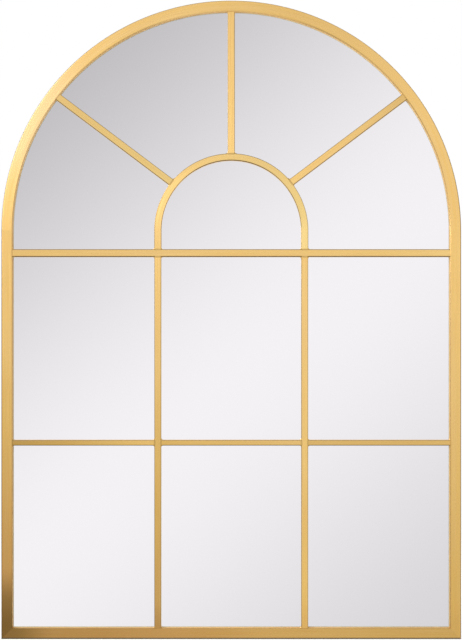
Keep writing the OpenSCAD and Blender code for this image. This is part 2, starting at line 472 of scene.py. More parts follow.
def evaluated_mesh(piece: Piece) -> Mesh:
    """Makes the mesh that an object's modifiers give it.

    Args:
        piece: The object, whose own mesh stays as it is.

    Returns:
        A plain new mesh.
    """
    bpy.context.view_layer.update()
    graph = bpy.context.evaluated_depsgraph_get()
    return bpy.data.meshes.new_from_object(
        piece.evaluated_get(graph), preserve_all_data_layers=True, depsgraph=graph
    )


def apply_modifiers(piece: Piece) -> None:
    """Gives a piece the mesh that its modifiers make, and no modifiers.

    Args:
        piece: The piece.
    """
    old = piece.data
    piece.data = evaluated_mesh(piece)
    piece.modifiers.clear()
    bpy.data.meshes.remove(old)
    piece.data.name = piece.name


def even_normals(piece: Piece, crease: float = 35.0) -> None:
    """Shades a piece smooth, with crisp corners and large faces that stay flat.

    Args:
        piece: The piece to shade.
        crease: Edges that bend by more degrees than this stay crisp.
    """
    piece.data.shade_smooth()
    piece.data.set_sharp_from_angle(angle=math.radians(crease))
    even = piece.modifiers.new("even", "WEIGHTED_NORMAL")
    even.keep_sharp = True
    even.weight = FACE_WEIGHT
    apply_modifiers(piece)


def hand_over(
    piece: Piece, nodes: Sequence[str] = (), body: str = FRAME_BODY
) -> None:
    """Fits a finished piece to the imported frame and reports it.

    Args:
        piece: The piece, with its place in its mesh.
        nodes: The CAD nodes that it stands for, if any.
        body: The CAD body that it moves with.
    """
    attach(piece, body)
    if nodes:
        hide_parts(*nodes)
    LOG.info(
        "%s: %d faces, rides on %s, stands for %s",
        piece.name,
        len(piece.data.polygons),
        body,
        ", ".join(nodes) or "nothing",
    )


# Finishes


@dataclass(frozen=True)
class Noise:
    """A noise pattern: its scale per metre, for all axes or for each, and its detail."""

    scale: float | Triple
    detail: float = 3.0

    def write(self, w: ShaderWriter, where: Socket) -> Socket:
        """Adds the pattern to a material.

        Args:
            w: The material's tree.
            where: The coordinates that it follows, in metres.

        Returns:
            The pattern, between about 0 and 1.
        """
        sizes = (self.scale,) * 3 if isinstance(self.scale, float) else self.scale
        mapped = w.result("ShaderNodeMapping", {"Vector": where, "Scale": sizes})
        return w.result(
            "ShaderNodeTexNoise",
            {"Vector": mapped, "Scale": 1.0, "Detail": self.detail},
            noise_dimensions="3D",
        )


@dataclass(frozen=True)
class Tint:
    """A colour laid over another where a pattern is between two levels, or past them.

    The share is how much of it there is at each of the two levels.
    """

    colour: Colour
    levels: Pair
    share: Pair = (0.0, 1.0)
    blend: Blend = Blend.COVER

    def over(self, w: ShaderWriter, pattern: Socket, under: Colour | Socket) -> Socket:
        """Lays the tint over a colour.

        Args:
            w: The material's tree.
            pattern: The pattern that the tint follows.
            under: The colour below.

        Returns:
            The mixed colour.
        """
        share = w.span(pattern, self.levels, self.share)
        return w.mix(share, under, self.colour, self.blend)


@dataclass(frozen=True)
class PaintedShadePatch:
    """Painted shade: a darker patch that fades upwards and away from the left edge."""

    height: Pair
    width: Pair
    share: Pair
    soft_top: bool = True
    soft_side: bool = False

    def write(self, w: ShaderWriter, up: Socket, along: Socket) -> Socket:
        """The patch's share of the shade colour.

        Args:
            w: The material's tree.
            up: Height above the frame's foot.
            along: Distance from the frame's left edge.

        Returns:
            The share.
        """
        rise = w.span(up, self.height, (1.0, 0.0), self.soft_top)
        return w.math("MULTIPLY", rise, w.span(along, self.width, self.share, self.soft_side))


@dataclass(frozen=True)
class BrushedGold:
    """Satin gold plating over steel, brushed along each tube and bar.

    Pale, deep and dull are streaks and clouds in the base colour. Straw and amber warm it
    where painted shade darkens the foot, the bright tint is painted light where a bar's
    painted tone is below 0, and cream is a painted highlight on the arch's left shoulder.
    Edge is a painted shade line along the front edges, darkest where they face down, with a
    strength for each way that the edge looks and a reach across the bar, where 1 is its
    side. Relief is the strength and the depth of the brushing.
    """

    name: str = "satin_gold_brushed"
    base: Colour = (0.985, 0.648, 0.226)
    pale: Tint = Tint((0.98, 0.68, 0.31), (0.35, 0.7), (0.0, 0.55))
    deep: Tint = Tint((0.84, 0.50, 0.15), (0.3, 0.62), (0.35, 0.0))
    dull: Tint = Tint((0.84, 0.50, 0.15), (0.35, 0.7), (0.0, 0.25))
    straw: Tint = Tint((1.0, 0.97, 0.8), (0.0, 0.15), blend=Blend.STAIN)
    amber: Tint = Tint((1.0, 0.887, 0.975), (0.12, 0.4), blend=Blend.STAIN)
    # Bright is painted light, cream a painted highlight, shade and edge painted shade
    bright: Tint = Tint((1.0, 0.825, 0.355), (-1.0, 0.0), (1.0, 0.0))
    cream: Colour = (1.0, 0.74, 0.44)
    shade: Colour = (0.12, 0.066, 0.014)
    edge: Colour = (0.105, 0.072, 0.038)
    fine: Noise = Noise((10.0, 1500.0, 1500.0), 2.0)
    broad: Noise = Noise((5.0, 260.0, 260.0))
    cloud: Noise = Noise(7.0, 2.0)
    roughness: Pair = (0.20, 0.28)
    rough_levels: Pair = (0.25, 0.7)
    relief: Pair = (0.12, 0.00004)
    anisotropy: float = 0.75
    quarter_turn: float = 0.25
    front_levels: Pair = (-0.05, -0.4)
    # Painted shade patches at the foot, along the rail and in the lower left corner
    low_patch: PaintedShadePatch = PaintedShadePatch((0.03, 0.46), (0.0, 0.44), (0.45, 0.13), soft_top=False)
    rail_patch: PaintedShadePatch = PaintedShadePatch((0.02, 0.065), (0.0, 0.6), (0.16, 0.05))
    corner_patch: PaintedShadePatch = PaintedShadePatch(
        (0.055, 0.115), (0.015, 0.085), (0.52, 0.0), soft_side=True
    )
    # Painted highlight on the arch's left shoulder: its strength, spot and reach
    shoulder: float = 0.44
    shoulder_spot: Pair = (0.86, 0.5)
    shoulder_reach: Pair = (0.04, 0.14)
    # Strengths and reaches of the painted edge shade line, and how much of it stays inside and at the
    # crown
    lower_line: float = 1.0
    upper_line: float = 0.4
    left_line: float = 0.78
    right_line: float = 0.7
    line_turn: Pair = (0.3, 0.8)
    line_reach: Pair = (0.78, 0.92)
    line_strength: float = 0.92
    lower_widening: float = 0.12
    outline_reach: Pair = (0.90, 0.96)
    outline_strength: float = 0.97
    inside_line: float = 0.45
    inside_levels: Pair = (0.0, -0.1)
    crown_line: float = 0.3
    crown_heights: Pair = (0.305, 0.335)

    def build(self, place: Layout) -> Finish:
        """Writes the material.

        Args:
            place: Where the frame's edges and the arch's centre are.

        Returns:
            The finished material, which reads the grain, stroke, rim and tone attributes.
        """
        w = ShaderWriter(self.name)
        fine = self.fine.write(w, w.own("grain"))
        front = self.facing_front(w)
        # Painted tone of each bar and painted shade at the foot, both kept to the front faces
        tone = w.math("MULTIPLY", w.own("tone", Kind.NUMBER), front)
        foot = w.math("MULTIPLY", self.painted_foot_shade(w, place), front)
        colour = self.streaks(w, fine)
        # Straw and amber warm the colour where the painted foot shade is
        for tint in (self.straw, self.amber):
            colour = tint.over(w, foot, colour)
        # Painted light where a bar's painted tone is below 0
        colour = self.bright.over(w, tone, colour)
        # Painted highlight of cream on the arch's left shoulder
        colour = w.mix(self.painted_shoulder_highlight(w, place), colour, self.cream)
        # Painted shade from the foot and from a bar's painted tone above 0
        dark = w.math("ADD", foot, w.math("MAXIMUM", tone, 0.0))
        colour = w.mix(dark, colour, self.shade)
        # Painted shade line along the front edges, kept to the front faces
        line = w.math("MULTIPLY", self.rim_line(w), front)
        line = w.math("MULTIPLY", line, self.inside_fade(w, place))
        w.set(
            base_color=w.mix(line, colour, self.edge),
            metallic=1.0,
            roughness=w.span(fine, self.rough_levels, self.roughness),
            anisotropic=self.anisotropy,
            anisotropic_rotation=self.quarter_turn,
            tangent=w.own("stroke"),
        )
        w.bump(fine, *self.relief)
        return w.material

    def streaks(self, w: ShaderWriter, fine: Socket) -> Socket:
        """The base colour with its streaks along the grain and its slow clouds.

        Args:
            w: The material's tree.
            fine: The fine brushing.

        Returns:
            The colour.
        """
        colour = self.pale.over(w, self.broad.write(w, w.own("grain")), self.base)
        colour = self.deep.over(w, fine, colour)
        return self.dull.over(w, self.cloud.write(w, w.place()), colour)

    def facing_front(self, w: ShaderWriter) -> Socket:
        """1 on faces that look forward and 0 on the sides and the back."""
        normal = w.add("ShaderNodeNewGeometry").outputs["Normal"]
        return w.span(w.split(normal)[1], self.front_levels)

    def painted_foot_shade(self, w: ShaderWriter, place: Layout) -> Socket:
        """Painted shade: how much darker the colour gets towards the foot, most of all at the left
        corner.

        Args:
            w: The material's tree.
            place: Where the frame's foot and left edge are.

        Returns:
            The share of the shade colour.
        """
        x, _, z = w.split(w.place())
        up = w.math("SUBTRACT", z, place.foot)
        along = w.math("SUBTRACT", x, place.left)
        low, rail, corner = (
            patch.write(w, up, along)
            for patch in (self.low_patch, self.rail_patch, self.corner_patch)
        )
        low = w.math("ADD", low, rail)
        return w.math("ADD", low, w.math("MULTIPLY", corner, w.math("SUBTRACT", 1.0, low)))

    def painted_shoulder_highlight(self, w: ShaderWriter, place: Layout) -> Socket:
        """Painted highlight: how much cream is laid over the arch's left shoulder.

        Args:
            w: The material's tree.
            place: Where the frame's left edge and the arch's centre are.

        Returns:
            The share of the cream colour.
        """
        across, rise = self.shoulder_spot
        middle = (place.left * across, 0.0, place.spring - place.left * rise)
        offset = w.vector("DISTANCE", w.place(), middle)
        return w.span(offset, self.shoulder_reach, (self.shoulder, 0.0), smooth=True)

    def inside_fade(self, w: ShaderWriter, place: Layout) -> Socket:
        """How much of the painted edge shade stays on the frame's inner edge, least at the crown.

        Args:
            w: The material's tree.
            place: Where the arch's centre is.

        Returns:
            The share that stays, 1 on the outer edge.
        """
        spoke = w.vector("SUBTRACT", w.place(), (0.0, 0.0, place.spring))
        inward = w.vector("DOT_PRODUCT", w.own("rim"), spoke)
        levels = (self.inside_line, self.inside_line * self.crown_line)
        stays = w.span(w.split(spoke)[2], self.crown_heights, levels, smooth=True)
        inner = w.span(inward, self.inside_levels)
        loss = w.math("MULTIPLY", inner, w.math("SUBTRACT", 1.0, stays))
        return w.math("SUBTRACT", 1.0, loss)

    def rim_line(self, w: ShaderWriter) -> Socket:
        """The painted shade line along a bar's front edges, darkest where they face down.

        The rim attribute points from the middle of the bar to the side and is 1 long there.

        Args:
            w: The material's tree.

        Returns:
            The share of the edge colour.
        """
        rim = w.own("rim")
        reach = w.vector("LENGTH", rim)
        across, _, rise = w.split(rim)
        start, end = self.line_turn
        down, up, left, right = (
            w.span(way, (sign * start, sign * end), (0.0, strength))
            for way, sign, strength in (
                (rise, -1, self.lower_line),
                (rise, 1, self.upper_line),
                (across, -1, self.left_line),
                (across, 1, self.right_line),
            )
        )
        share = w.math("MAXIMUM", w.math("ADD", left, right), w.math("ADD", down, up))
        wider = w.math("ADD", reach, w.math("MULTIPLY", down, self.lower_widening))
        line = w.span(wider, self.line_reach, (0.0, self.line_strength), smooth=True)
        outline = w.span(reach, self.outline_reach, (0.0, self.outline_strength))
        return w.math("MAXIMUM", w.math("MULTIPLY", line, share), outline)


@dataclass(frozen=True)
class Silvering:
    """The face of the mirror: silver seen through clear glass, with a trace of haze."""

    name: str = "mirror_silver"
    base: Colour = (0.919, 0.895, 0.919)
    cool: Tint = Tint((0.914, 0.893, 0.916), (0.3, 0.7))
    cloud: Noise = Noise(5.0, 2.0)
    haze: Pair = (0.0, 0.018)
    haze_levels: Pair = (0.45, 0.75)

    def build(self) -> Finish:
        """Writes the mirror's face.

        Returns:
            The finished material.
        """
        w = ShaderWriter(self.name)
        cloud = self.cloud.write(w, w.place())
        w.set(
            base_color=self.cool.over(w, cloud, self.base),
            metallic=1.0,
            roughness=w.span(cloud, self.haze_levels, self.haze),
        )
        return w.material


@dataclass(frozen=True)
class GlassEdge:
    """The cut and ground edge of float glass, green in its depth, with marks of the wheel."""

    name: str = "mirror_edge"
    deep: Colour = (0.48, 0.68, 0.60)
    pale: Tint = Tint((0.78, 0.90, 0.85), (0.3, 0.7))
    marks: Noise = Noise((900.0, 60.0, 900.0))
    roughness: Pair = (0.18, 0.4)
    rough_levels: Pair = (0.3, 0.7)
    ior: float = 1.52
    relief: Pair = (0.2, 0.00005)

    def build(self) -> Finish:
        """Writes the ground edge.

        Returns:
            The finished material.
        """
        w = ShaderWriter(self.name)
        marks = self.marks.write(w, w.place())
        w.set(
            base_color=self.pale.over(w, marks, self.deep),
            roughness=w.span(marks, self.rough_levels, self.roughness),
            ior=self.ior,
        )
        w.bump(marks, *self.relief)
        return w.material


@dataclass(frozen=True)
class Speckled:
    """A matt or half matt surface with two tones of speckle and its own bump.

    Dimming is the tint of its clouds, as a share of the base colour.
    """

    name: str
    base: Colour
    fleck: Colour
    grain: Noise
    fleck_levels: Pair = (0.42, 0.68)
    roughness: Pair = (0.5, 0.7)
    rough_levels: Pair = (0.3, 0.7)
    depth: float = 0.0001
    strength: float = 0.4
    cloud: Noise = Noise(9.0)
    cloud_levels: Pair = (0.35, 0.7)
    cloud_share: Pair = (0.0, 0.45)
    dimming: float = 0.72
    sheen: float = 0.0

    def build(self) -> Finish:
        """Writes the speckle, the slow change of tone and the bump.

        Returns:
            The finished material.
        """
        w = ShaderWriter(self.name)
        speckle = self.grain.write(w, w.place())
        colour = Tint(self.fleck, self.fleck_levels).over(w, speckle, self.base)
        red, green, blue = (c * self.dimming for c in self.base)
        dim = Tint((red, green, blue), self.cloud_levels, self.cloud_share)
        w.set(
            base_color=dim.over(w, self.cloud.write(w, w.place()), colour),
            roughness=w.span(speckle, self.rough_levels, self.roughness),
            sheen_weight=self.sheen,
        )
        w.bump(speckle, self.strength, self.depth)
        return w.material


@dataclass(frozen=True)
class Hardboard:
    """Brown hardboard: short fibres pressed flat, some level and some upright."""

    name: str = "backing_hardboard"
    base: Colour = (0.30, 0.155, 0.068)
    fibre: Tint = Tint((0.46, 0.27, 0.135), (0.5, 0.75), (0.0, 0.9))
    dark: Tint = Tint((0.16, 0.078, 0.034), (0.4, 0.75), (0.0, 0.5))
    level: Noise = Noise((90.0, 300.0, 900.0), 4.0)
    upright: Noise = Noise((900.0, 300.0, 90.0), 4.0)
    cloud: Noise = Noise(6.0)
    roughness: Pair = (0.62, 0.48)
    rough_levels: Pair = (0.3, 0.75)
    relief: Pair = (0.35, 0.00015)

    def build(self) -> Finish:
        """Writes the board from crossed layers of stretched fibre noise.

        Returns:
            The finished material.
        """
        w = ShaderWriter(self.name)
        place = w.place()
        fibres = w.math("MAXIMUM", self.level.write(w, place), self.upright.write(w, place))
        colour = self.fibre.over(w, fibres, self.base)
        w.set(
            base_color=self.dark.over(w, self.cloud.write(w, place), colour),
            roughness=w.span(fibres, self.rough_levels, self.roughness),
        )
        w.bump(fibres, *self.relief)
        return w.material


@dataclass(frozen=True)
class ZincPlate:
    """Bright zinc plating on stamped steel, with faint blue and straw patches."""

    name: str = "zinc_plate"
    base: Colour = (0.66, 0.68, 0.70)
    blue: Tint = Tint((0.55, 0.61, 0.70), (0.5, 0.75), (0.0, 0.8))
    straw: Tint = Tint((0.72, 0.68, 0.56), (0.45, 0.25), (0.0, 0.7))
    scratch: Tint = Tint((0.42, 0.43, 0.45), (0.58, 0.75), (0.0, 0.6))
    patches: Noise = Noise(130.0, 2.0)
    scratches: Noise = Noise((120.0, 500.0, 3500.0), 2.0)
    roughness: Pair = (0.26, 0.42)
    rough_levels: Pair = (0.3, 0.75)
    relief: Pair = (0.15, 0.00004)

    def build(self) -> Finish:
        """Writes the plating, its patches and its fine scratches.

        Returns:
            The finished material.
        """
        w = ShaderWriter(self.name)
        patches = self.patches.write(w, w.place())
        scratches = self.scratches.write(w, w.place())
        colour = self.blue.over(w, patches, self.base)
        colour = self.straw.over(w, patches, colour)
        w.set(
            base_color=self.scratch.over(w, scratches, colour),
            metallic=1.0,
            roughness=w.span(scratches, self.rough_levels, self.roughness),
        )
        w.bump(scratches, *self.relief)
        return w.material


class Finishes:
    """Every finish of the mirror, each built once."""

    def __init__(self, place: Layout) -> None:
        """Builds the materials.

        Args:
            place: The frame's own place, which the gold follows.
        """
        self.gold = BrushedGold().build(place)
        # The bars get no painted shoulder highlight, and their painted edge shade is stronger on upper
        # edges and the same inside and at the crown
        self.bar_gold = BrushedGold(
            "satin_gold_bars", base=(1.0, 0.668, 0.236), roughness=(0.24, 0.32),
            upper_line=0.85, shoulder=0.0, inside_line=1.0, crown_line=1.0,
        ).build(place)
        self.silver = Silvering().build()
        self.glass_edge = GlassEdge().build()
        self.mirror_back = Speckled(
            "mirror_back_paint", base=(0.20, 0.24, 0.26), fleck=(0.27, 0.31, 0.33),
            grain=Noise(700.0, 4.0),
        ).build()
        self.board = Hardboard().build()
        self.board_edge = Speckled(
            "board_edge", base=(0.24, 0.125, 0.055), fleck=(0.40, 0.24, 0.12),
            grain=Noise((600.0, 1800.0, 600.0), 4.0),
        ).build()
        self.board_front = Speckled(
            "board_cream_face", base=(0.86, 0.78, 0.62), fleck=(0.80, 0.71, 0.54),
            grain=Noise(500.0, 4.0), roughness=(0.4, 0.6), depth=0.00003,
        ).build()
        self.foam = Speckled(
            "foam_cells", base=(0.78, 0.79, 0.80), fleck=(0.60, 0.61, 0.63),
            grain=Noise(1100.0, 4.0), roughness=(0.75, 0.9), strength=0.7,
        ).build()
        self.felt = Speckled(
            "felt", base=(0.055, 0.05, 0.048), fleck=(0.13, 0.12, 0.115),
            grain=Noise(2600.0, 4.0), roughness=(0.85, 0.98), strength=0.8, sheen=0.6,
        ).build()
        self.rubber = Speckled(
            "rubber", base=(0.035, 0.035, 0.037), fleck=(0.075, 0.075, 0.078),
            grain=Noise(1900.0, 4.0), roughness=(0.55, 0.75), depth=0.00005,
        ).build()
        self.grey_rubber = Speckled(
            "grey_rubber", base=(0.42, 0.39, 0.33), fleck=(0.52, 0.49, 0.42),
            grain=Noise(1900.0, 4.0), roughness=(0.5, 0.7), depth=0.00005,
        ).build()
        self.sealant = Speckled(
            "tan_sealant", base=(0.80, 0.64, 0.37), fleck=(0.71, 0.56, 0.32),
            grain=Noise(900.0, 4.0), roughness=(0.3, 0.45), depth=0.00003,
        ).build()
        self.zinc = ZincPlate().build()


# Shapes that several sub-assemblies use


def arc_points(radius: float, start: float, end: float, steps: int) -> list[Point2]:
    """Points on an arc round the origin of the drawing plane.

    Args:
        radius: The arc's radius.
        start: First angle in degrees, counter-clockwise from X.
        end: Last angle in degrees.
        steps: How many straight steps the arc has.

    Returns:
        The points in order, steps + 1 of them.
    """
    turn = [math.radians(start + (end - start) * i / steps) for i in range(steps + 1)]
    return [(radius * math.cos(a), radius * math.sin(a)) for a in turn]


def path_mesh(points: Sequence[Point2], y: float) -> Mesh:
    """Draws a path in the drawing plane.

    Args:
        points: The points that it goes through.
        y: Its depth.

    Returns:
        A mesh that is one chain of edges.
    """
    mesh = bpy.data.meshes.new("path")
    edges = [(i, i + 1) for i in range(len(points) - 1)]
    mesh.from_pydata([(x, y, z) for x, z in points], edges, [])
    return mesh


class SweepTree(GeometryTree):
    """Draws a rounded tube or bar along a path, its ends square or cut to an angle.

    It stores the grain, stroke, rim and tone attributes that the gold finish reads.
    """

    def __init__(self) -> None:
        """Writes the whole tree."""
        super().__init__("tube_along_path")
        self.width = self.named_input("Face Width")
        self.depth = self.named_input("Depth")
        self.shift = self.named_input("Grain Shift")
        self.spot = self.result("GeometryNodeInputPosition")
        solid = self.result(
            "GeometryNodeCurveToMesh",
            {"Curve": self.path(), "Profile Curve": self.section(), "Fill Caps": True},
        )
        solid = self.store(solid, "rim", self.rim())
        deep, across, _ = self.split(self.attribute("section"))
        lean = self.math("MULTIPLY", across, self.attribute("cut", Kind.NUMBER))
        offset = self.scale(self.attribute("stroke"), lean)
        solid = self.result("GeometryNodeSetPosition", {"Geometry": solid, "Offset": offset})
        grain = {
            "X": self.attribute("along", Kind.NUMBER),
            "Y": self.math("ADD", deep, self.shift),
            "Z": self.math("ADD", across, self.shift),
        }
        self.finish(self.store(solid, "grain", self.result("ShaderNodeCombineXYZ", grain)))

    def path(self) -> Socket:
        """Turns the edges into a curve that looks forward and knows its own course.

        Returns:
            The curve, with its stroke, centre, along, tone and cut attributes.
        """
        curve = self.result("GeometryNodeMeshToCurve", {"Mesh": self.source})
        curve = self.result(
            "GeometryNodeSetCurveNormal",
            {"Curve": curve, "Normal": (0.0, -1.0, 0.0)},
            mode="FREE",
        )
        course = self.add("GeometryNodeSplineParameter").outputs
        # The painted light and shade of the bar at its start and its end
        tones = [self.named_input(f"{end} Tone") for end in ("Start", "End")]
        numbers = {
            "along": self.math("ADD", course["Length"], self.shift),
            "tone": self.span(course["Factor"], (0.0, 1.0), tones),
            "cut": self.math("ADD", self.end_cut("Start"), self.end_cut("End")),
        }
        curve = self.store(curve, "stroke", self.result("GeometryNodeInputTangent"))
        curve = self.store(curve, "centre", self.spot)
        for name, value in numbers.items():
            curve = self.store(curve, name, value, Kind.NUMBER)
        return curve

    def end_cut(self, end: str) -> Socket:
        """The lean of one end's cut.

        Args:
            end: Start or End, which gives the tree's input its name.

        Returns:
            The input's value at that end of the path, and 0 elsewhere.
        """
        sizes = {f"{name} Size": int(name == end) for name in ("Start", "End")}
        here = self.result("GeometryNodeCurveEndpointSelection", sizes)
        return self.math("MULTIPLY", here, self.named_input(f"{end} Cut"))

    def section(self) -> Socket:
        """Draws the section, with its depth along X and its face width along Y.

        Returns:
            The outline with rounded corners and its section attribute.
        """
        radius = self.named_input("Edge Radius")
        steps = self.named_input("Edge Steps", "Int")
        outline = self.result(
            "GeometryNodeCurvePrimitiveQuadrilateral",
            {"Width": self.depth, "Height": self.width},
        )
        outline = self.result(
            "GeometryNodeFilletCurve",
            {"Curve": outline, "Radius": radius, "Count": steps},
            mode="POLY",
        )
        return self.store(outline, "section", self.spot)

    def rim(self) -> Socket:
        """How far a point is across the bar, as a vector that is 1 long at its sides.

        Returns:
            The vector from the path's line, without its depth.
        """
        offset = self.vector("SUBTRACT", self.spot, self.attribute("centre"))
        flat = self.vector("MULTIPLY", offset, (1.0, 0.0, 1.0))
        return self.scale(flat, self.math("DIVIDE", 2.0, self.width))


def store_values(mesh: Mesh, name: str, values: Sequence[float | Vector]) -> None:
    """Stores an attribute on a mesh.

    Args:
        mesh: The mesh.
        name: The attribute's name.
        values: One number or one vector for each point.
    """
    if isinstance(values[0], Vector):
        layer = mesh.attributes.new(name, Kind.VECTOR.value, "POINT")
        layer.data.foreach_set("vector", [c for value in values for c in value])
    else:
        layer = mesh.attributes.new(name, Kind.NUMBER.value, "POINT")
        layer.data.foreach_set("value", values)


@dataclass(frozen=True)
class Seat:
    """Where a copy of a shape goes, and how it is turned and stretched.

    The turn is in radians, counter-clockwise as seen from the front. The stretch is a
    scale along the shape's own X.
    """

    place: Vector
    turn: float = 0.0
    stretch: float = 1.0


def seat_mesh(seats: Sequence[Seat]) -> Mesh:
    """Writes seats to a mesh of loose points.

    Args:
        seats: The seats.

    Returns:
        The mesh, with a turn and a stretch attribute.
    """
    mesh = bpy.data.meshes.new("seats")
    mesh.from_pydata([tuple(seat.place) for seat in seats], [], [])
    store_values(mesh, "turn", [seat.turn for seat in seats])
    store_values(mesh, "stretch", [seat.stretch for seat in seats])
    return mesh


class CopiesTree(GeometryTree):
    """Sets one shape at every point of a mesh.

    Each copy is stretched along X by the point's stretch attribute. It is turned about Y
    by the point's turn attribute and by a seeded random share of a turn.
    """

    def __init__(self) -> None:
        """Writes the whole tree."""
        super().__init__("copies_at_points")
        shape = self.named_input("Shape", "Object")
        spread = self.named_input("Random Turn")
        seed = self.named_input("Seed", "Int")
        chance = self.result("FunctionNodeRandomValue", {"Seed": seed}, data_type="FLOAT")
        loose = self.math("MULTIPLY", chance, spread)
        turn = self.math("SUBTRACT", loose, self.attribute("turn", Kind.NUMBER))
        euler = self.result("ShaderNodeCombineXYZ", {"Y": turn})
        stretch = {"X": self.attribute("stretch", Kind.NUMBER), "Y": 1.0, "Z": 1.0}
        inputs = {
            "Points": self.source,
            "Instance": self.add("GeometryNodeObjectInfo", {"Object": shape}).outputs["Geometry"],
            "Rotation": self.result("FunctionNodeEulerToRotation", {"Euler": euler}),
            "Scale": self.result("ShaderNodeCombineXYZ", stretch),
        }
        self.finish(self.result("GeometryNodeInstanceOnPoints", inputs))

    def fill(
        self,
        name: str,
        shape: Piece,
        seats: Sequence[Seat],
        finish: Finish,
        spread: float = 0.0,
        seed: int = 1,
    ) -> Piece:
        """Sets a shape on every seat.

        Args:
            name: The new piece's name.
            shape: The helper object to copy. It is removed.
            seats: Where the copies go.
            finish: The material.
            spread: The largest random turn, in radians.
            seed: Seed of the random turns.

        Returns:
            The new piece.
        """
        values = {"Shape": shape, "Random Turn": spread, "Seed": seed, "Material": finish}
        piece = self.run(name, seat_mesh(seats), values)
        bpy.data.objects.remove(shape)
        return piece


def to_mesh(bm: bmesh.types.BMesh, name: str) -> Mesh:
    """Writes a bmesh to a new mesh.

    Args:
        bm: The shape. It is freed.
        name: The mesh's name.

    Returns:
        The mesh.
    """
    mesh = bpy.data.meshes.new(name)
    bm.to_mesh(mesh)
    bm.free()
    return mesh


def closed_mesh(bm: bmesh.types.BMesh, name: str) -> Mesh:
    """Writes a closed shape to a new mesh, with its faces outwards.

    Args:
        bm: The shape. It is freed.
        name: The mesh's name.

    Returns:
        The mesh, in which no face has more than four corners.
    """
    bmesh.ops.recalc_face_normals(bm, faces=bm.faces)
    bmesh.ops.triangulate(bm, faces=[f for f in bm.faces if len(f.verts) > 4])
    return to_mesh(bm, name)


def loft(
    bm: bmesh.types.BMesh,
    sections: Sequence[Sequence[Vector]],
    finishes: tuple[int, int, int] = (0, 0, 0),
) -> None:
    """Joins closed sections with the same number of points into one closed solid.

    Args:
        bm: The bmesh to add to.
        sections: The points of each section, in order.
        finishes: Material numbers of the first end, the sides and the last end.
    """
    first, sides, last = finishes
    rings = [[bm.verts.new(point) for point in section] for section in sections]
    for low, high in zip(rings, rings[1:]):
        for i, corner in enumerate(low):
            j = (i + 1) % len(low)
            bm.faces.new([corner, low[j], high[j], high[i]]).material_index = sides
    bm.faces.new(rings[0]).material_index = first
    bm.faces.new(rings[-1]).material_index = last


def lathe(name: str, profile: Sequence[Point2], steps: int) -> Mesh:
    """Turns a profile round the Y axis.

    Args:
        name: The mesh's name.
        profile: Points as (radius, y). A radius of 0 closes the shape on the axis.
        steps: How many faces go round.

    Returns:
        A closed mesh with its faces outwards.
    """
    bm = bmesh.new()
    circle = arc_points(1.0, 0.0, 360.0, steps)[:-1]
    rings = []
    for radius, y in profile:
        spots = circle if radius else [(0.0, 0.0)]
        rings.append([bm.verts.new((radius * x, y, radius * z)) for x, z in spots])
    if len(rings[0]) > 1:
        rings.append(rings[0])
    for low, high in zip(rings, rings[1:]):
        for i in range(steps):
            j = (i + 1) % steps
            around = (low[i % len(low)], low[j % len(low)], high[j % len(high)], high[i % len(high)])
            bm.faces.new(list(dict.fromkeys(around)))
    return closed_mesh(bm, name)


def turned_shape(name: str, profile: Sequence[Point2], steps: int, crease: float) -> Piece:
    """Makes a turned helper object.

    Args:
        name: The object's name.
        profile: Points as (radius, y).
        steps: How many faces go round.
        crease: Edges that bend by more degrees than this stay crisp.

    Returns:
        A helper object that the copies tree reads.
    """
    shape = link_object(name, lathe(name, profile, steps))
    even_normals(shape, crease)
    return shape


def merged_copy(node: str) -> bmesh.types.BMesh:
    """Copies a CAD node's mesh and merges its loose triangles into closed solids.

    Args:
        node: The CAD node.

    Returns:
        The copy.
    """
    bm = bmesh.new()
    bm.from_mesh(frame["nodes"][node].data)
    bmesh.ops.remove_doubles(bm, verts=bm.verts, dist=WELD_DISTANCE)
    return bm


def solids_of(node: str) -> list[tuple[Vector, Vector]]:
    """Finds the separate solids in a CAD node.

    Args:
        node: The CAD node.

    Returns:
        The lowest and highest corner of each solid, ordered by height, then by X.
    """
    bm = merged_copy(node)
    seen: set[int] = set()
    boxes = []
    for first in bm.verts:
        if first.index in seen:
            continue
        seen.add(first.index)
        queue, found = [first], []
        while queue:
            vert = queue.pop()
            found.append(vert.co.copy())
            for edge in vert.link_edges:
                other = edge.other_vert(vert)
                if other.index not in seen:
                    seen.add(other.index)
                    queue.append(other)
        low = Vector(min(p[k] for p in found) for k in range(3))
        high = Vector(max(p[k] for p in found) for k in range(3))
        boxes.append((low, high))
    bm.free()

    def place(box: tuple[Vector, Vector]) -> Pair:
        """The height and the X of a box's lowest corner, rounded."""
        return round(box[0].z, ORDER_DIGITS), round(box[0].x, ORDER_DIGITS)

    return sorted(boxes, key=place)


@dataclass(frozen=True)
class SoftCopy:
    """A copy of a CAD node with small rounds on its sharp edges.

    Faces that bend by less than the flat angle become one, edges that bend by more than
    the sharp angle are rounded, and above the crease angle they stay crisp. All three are
    in degrees.
    """

    node: str
    radius: float
    flat: float = 1.0
    sharp: float = 50.0
    crease: float = 40.0
    segments: int = 2

    def build(self, name: str, finish: Finish) -> Piece:
        """Makes the copy.

        Args:
            name: The new piece's name.
            finish: The material.

        Returns:
            The new piece, with its place in its mesh.
        """
        bm = merged_copy(self.node)
        bmesh.ops.dissolve_limit(
            bm, angle_limit=math.radians(self.flat), verts=bm.verts, edges=bm.edges
        )
        sharp = [
            e for e in bm.edges
            if len(e.link_faces) == 2 and e.calc_face_angle(0.0) > math.radians(self.sharp)
        ]
        bmesh.ops.bevel(
            bm, geom=sharp, offset=self.radius, segments=self.segments, profile=0.5,
            affect="EDGES", clamp_overlap=True,
        )
        piece = link_object(name, to_mesh(bm, name))
        piece.data.materials.append(finish)
        even_normals(piece, self.crease)
        return piece


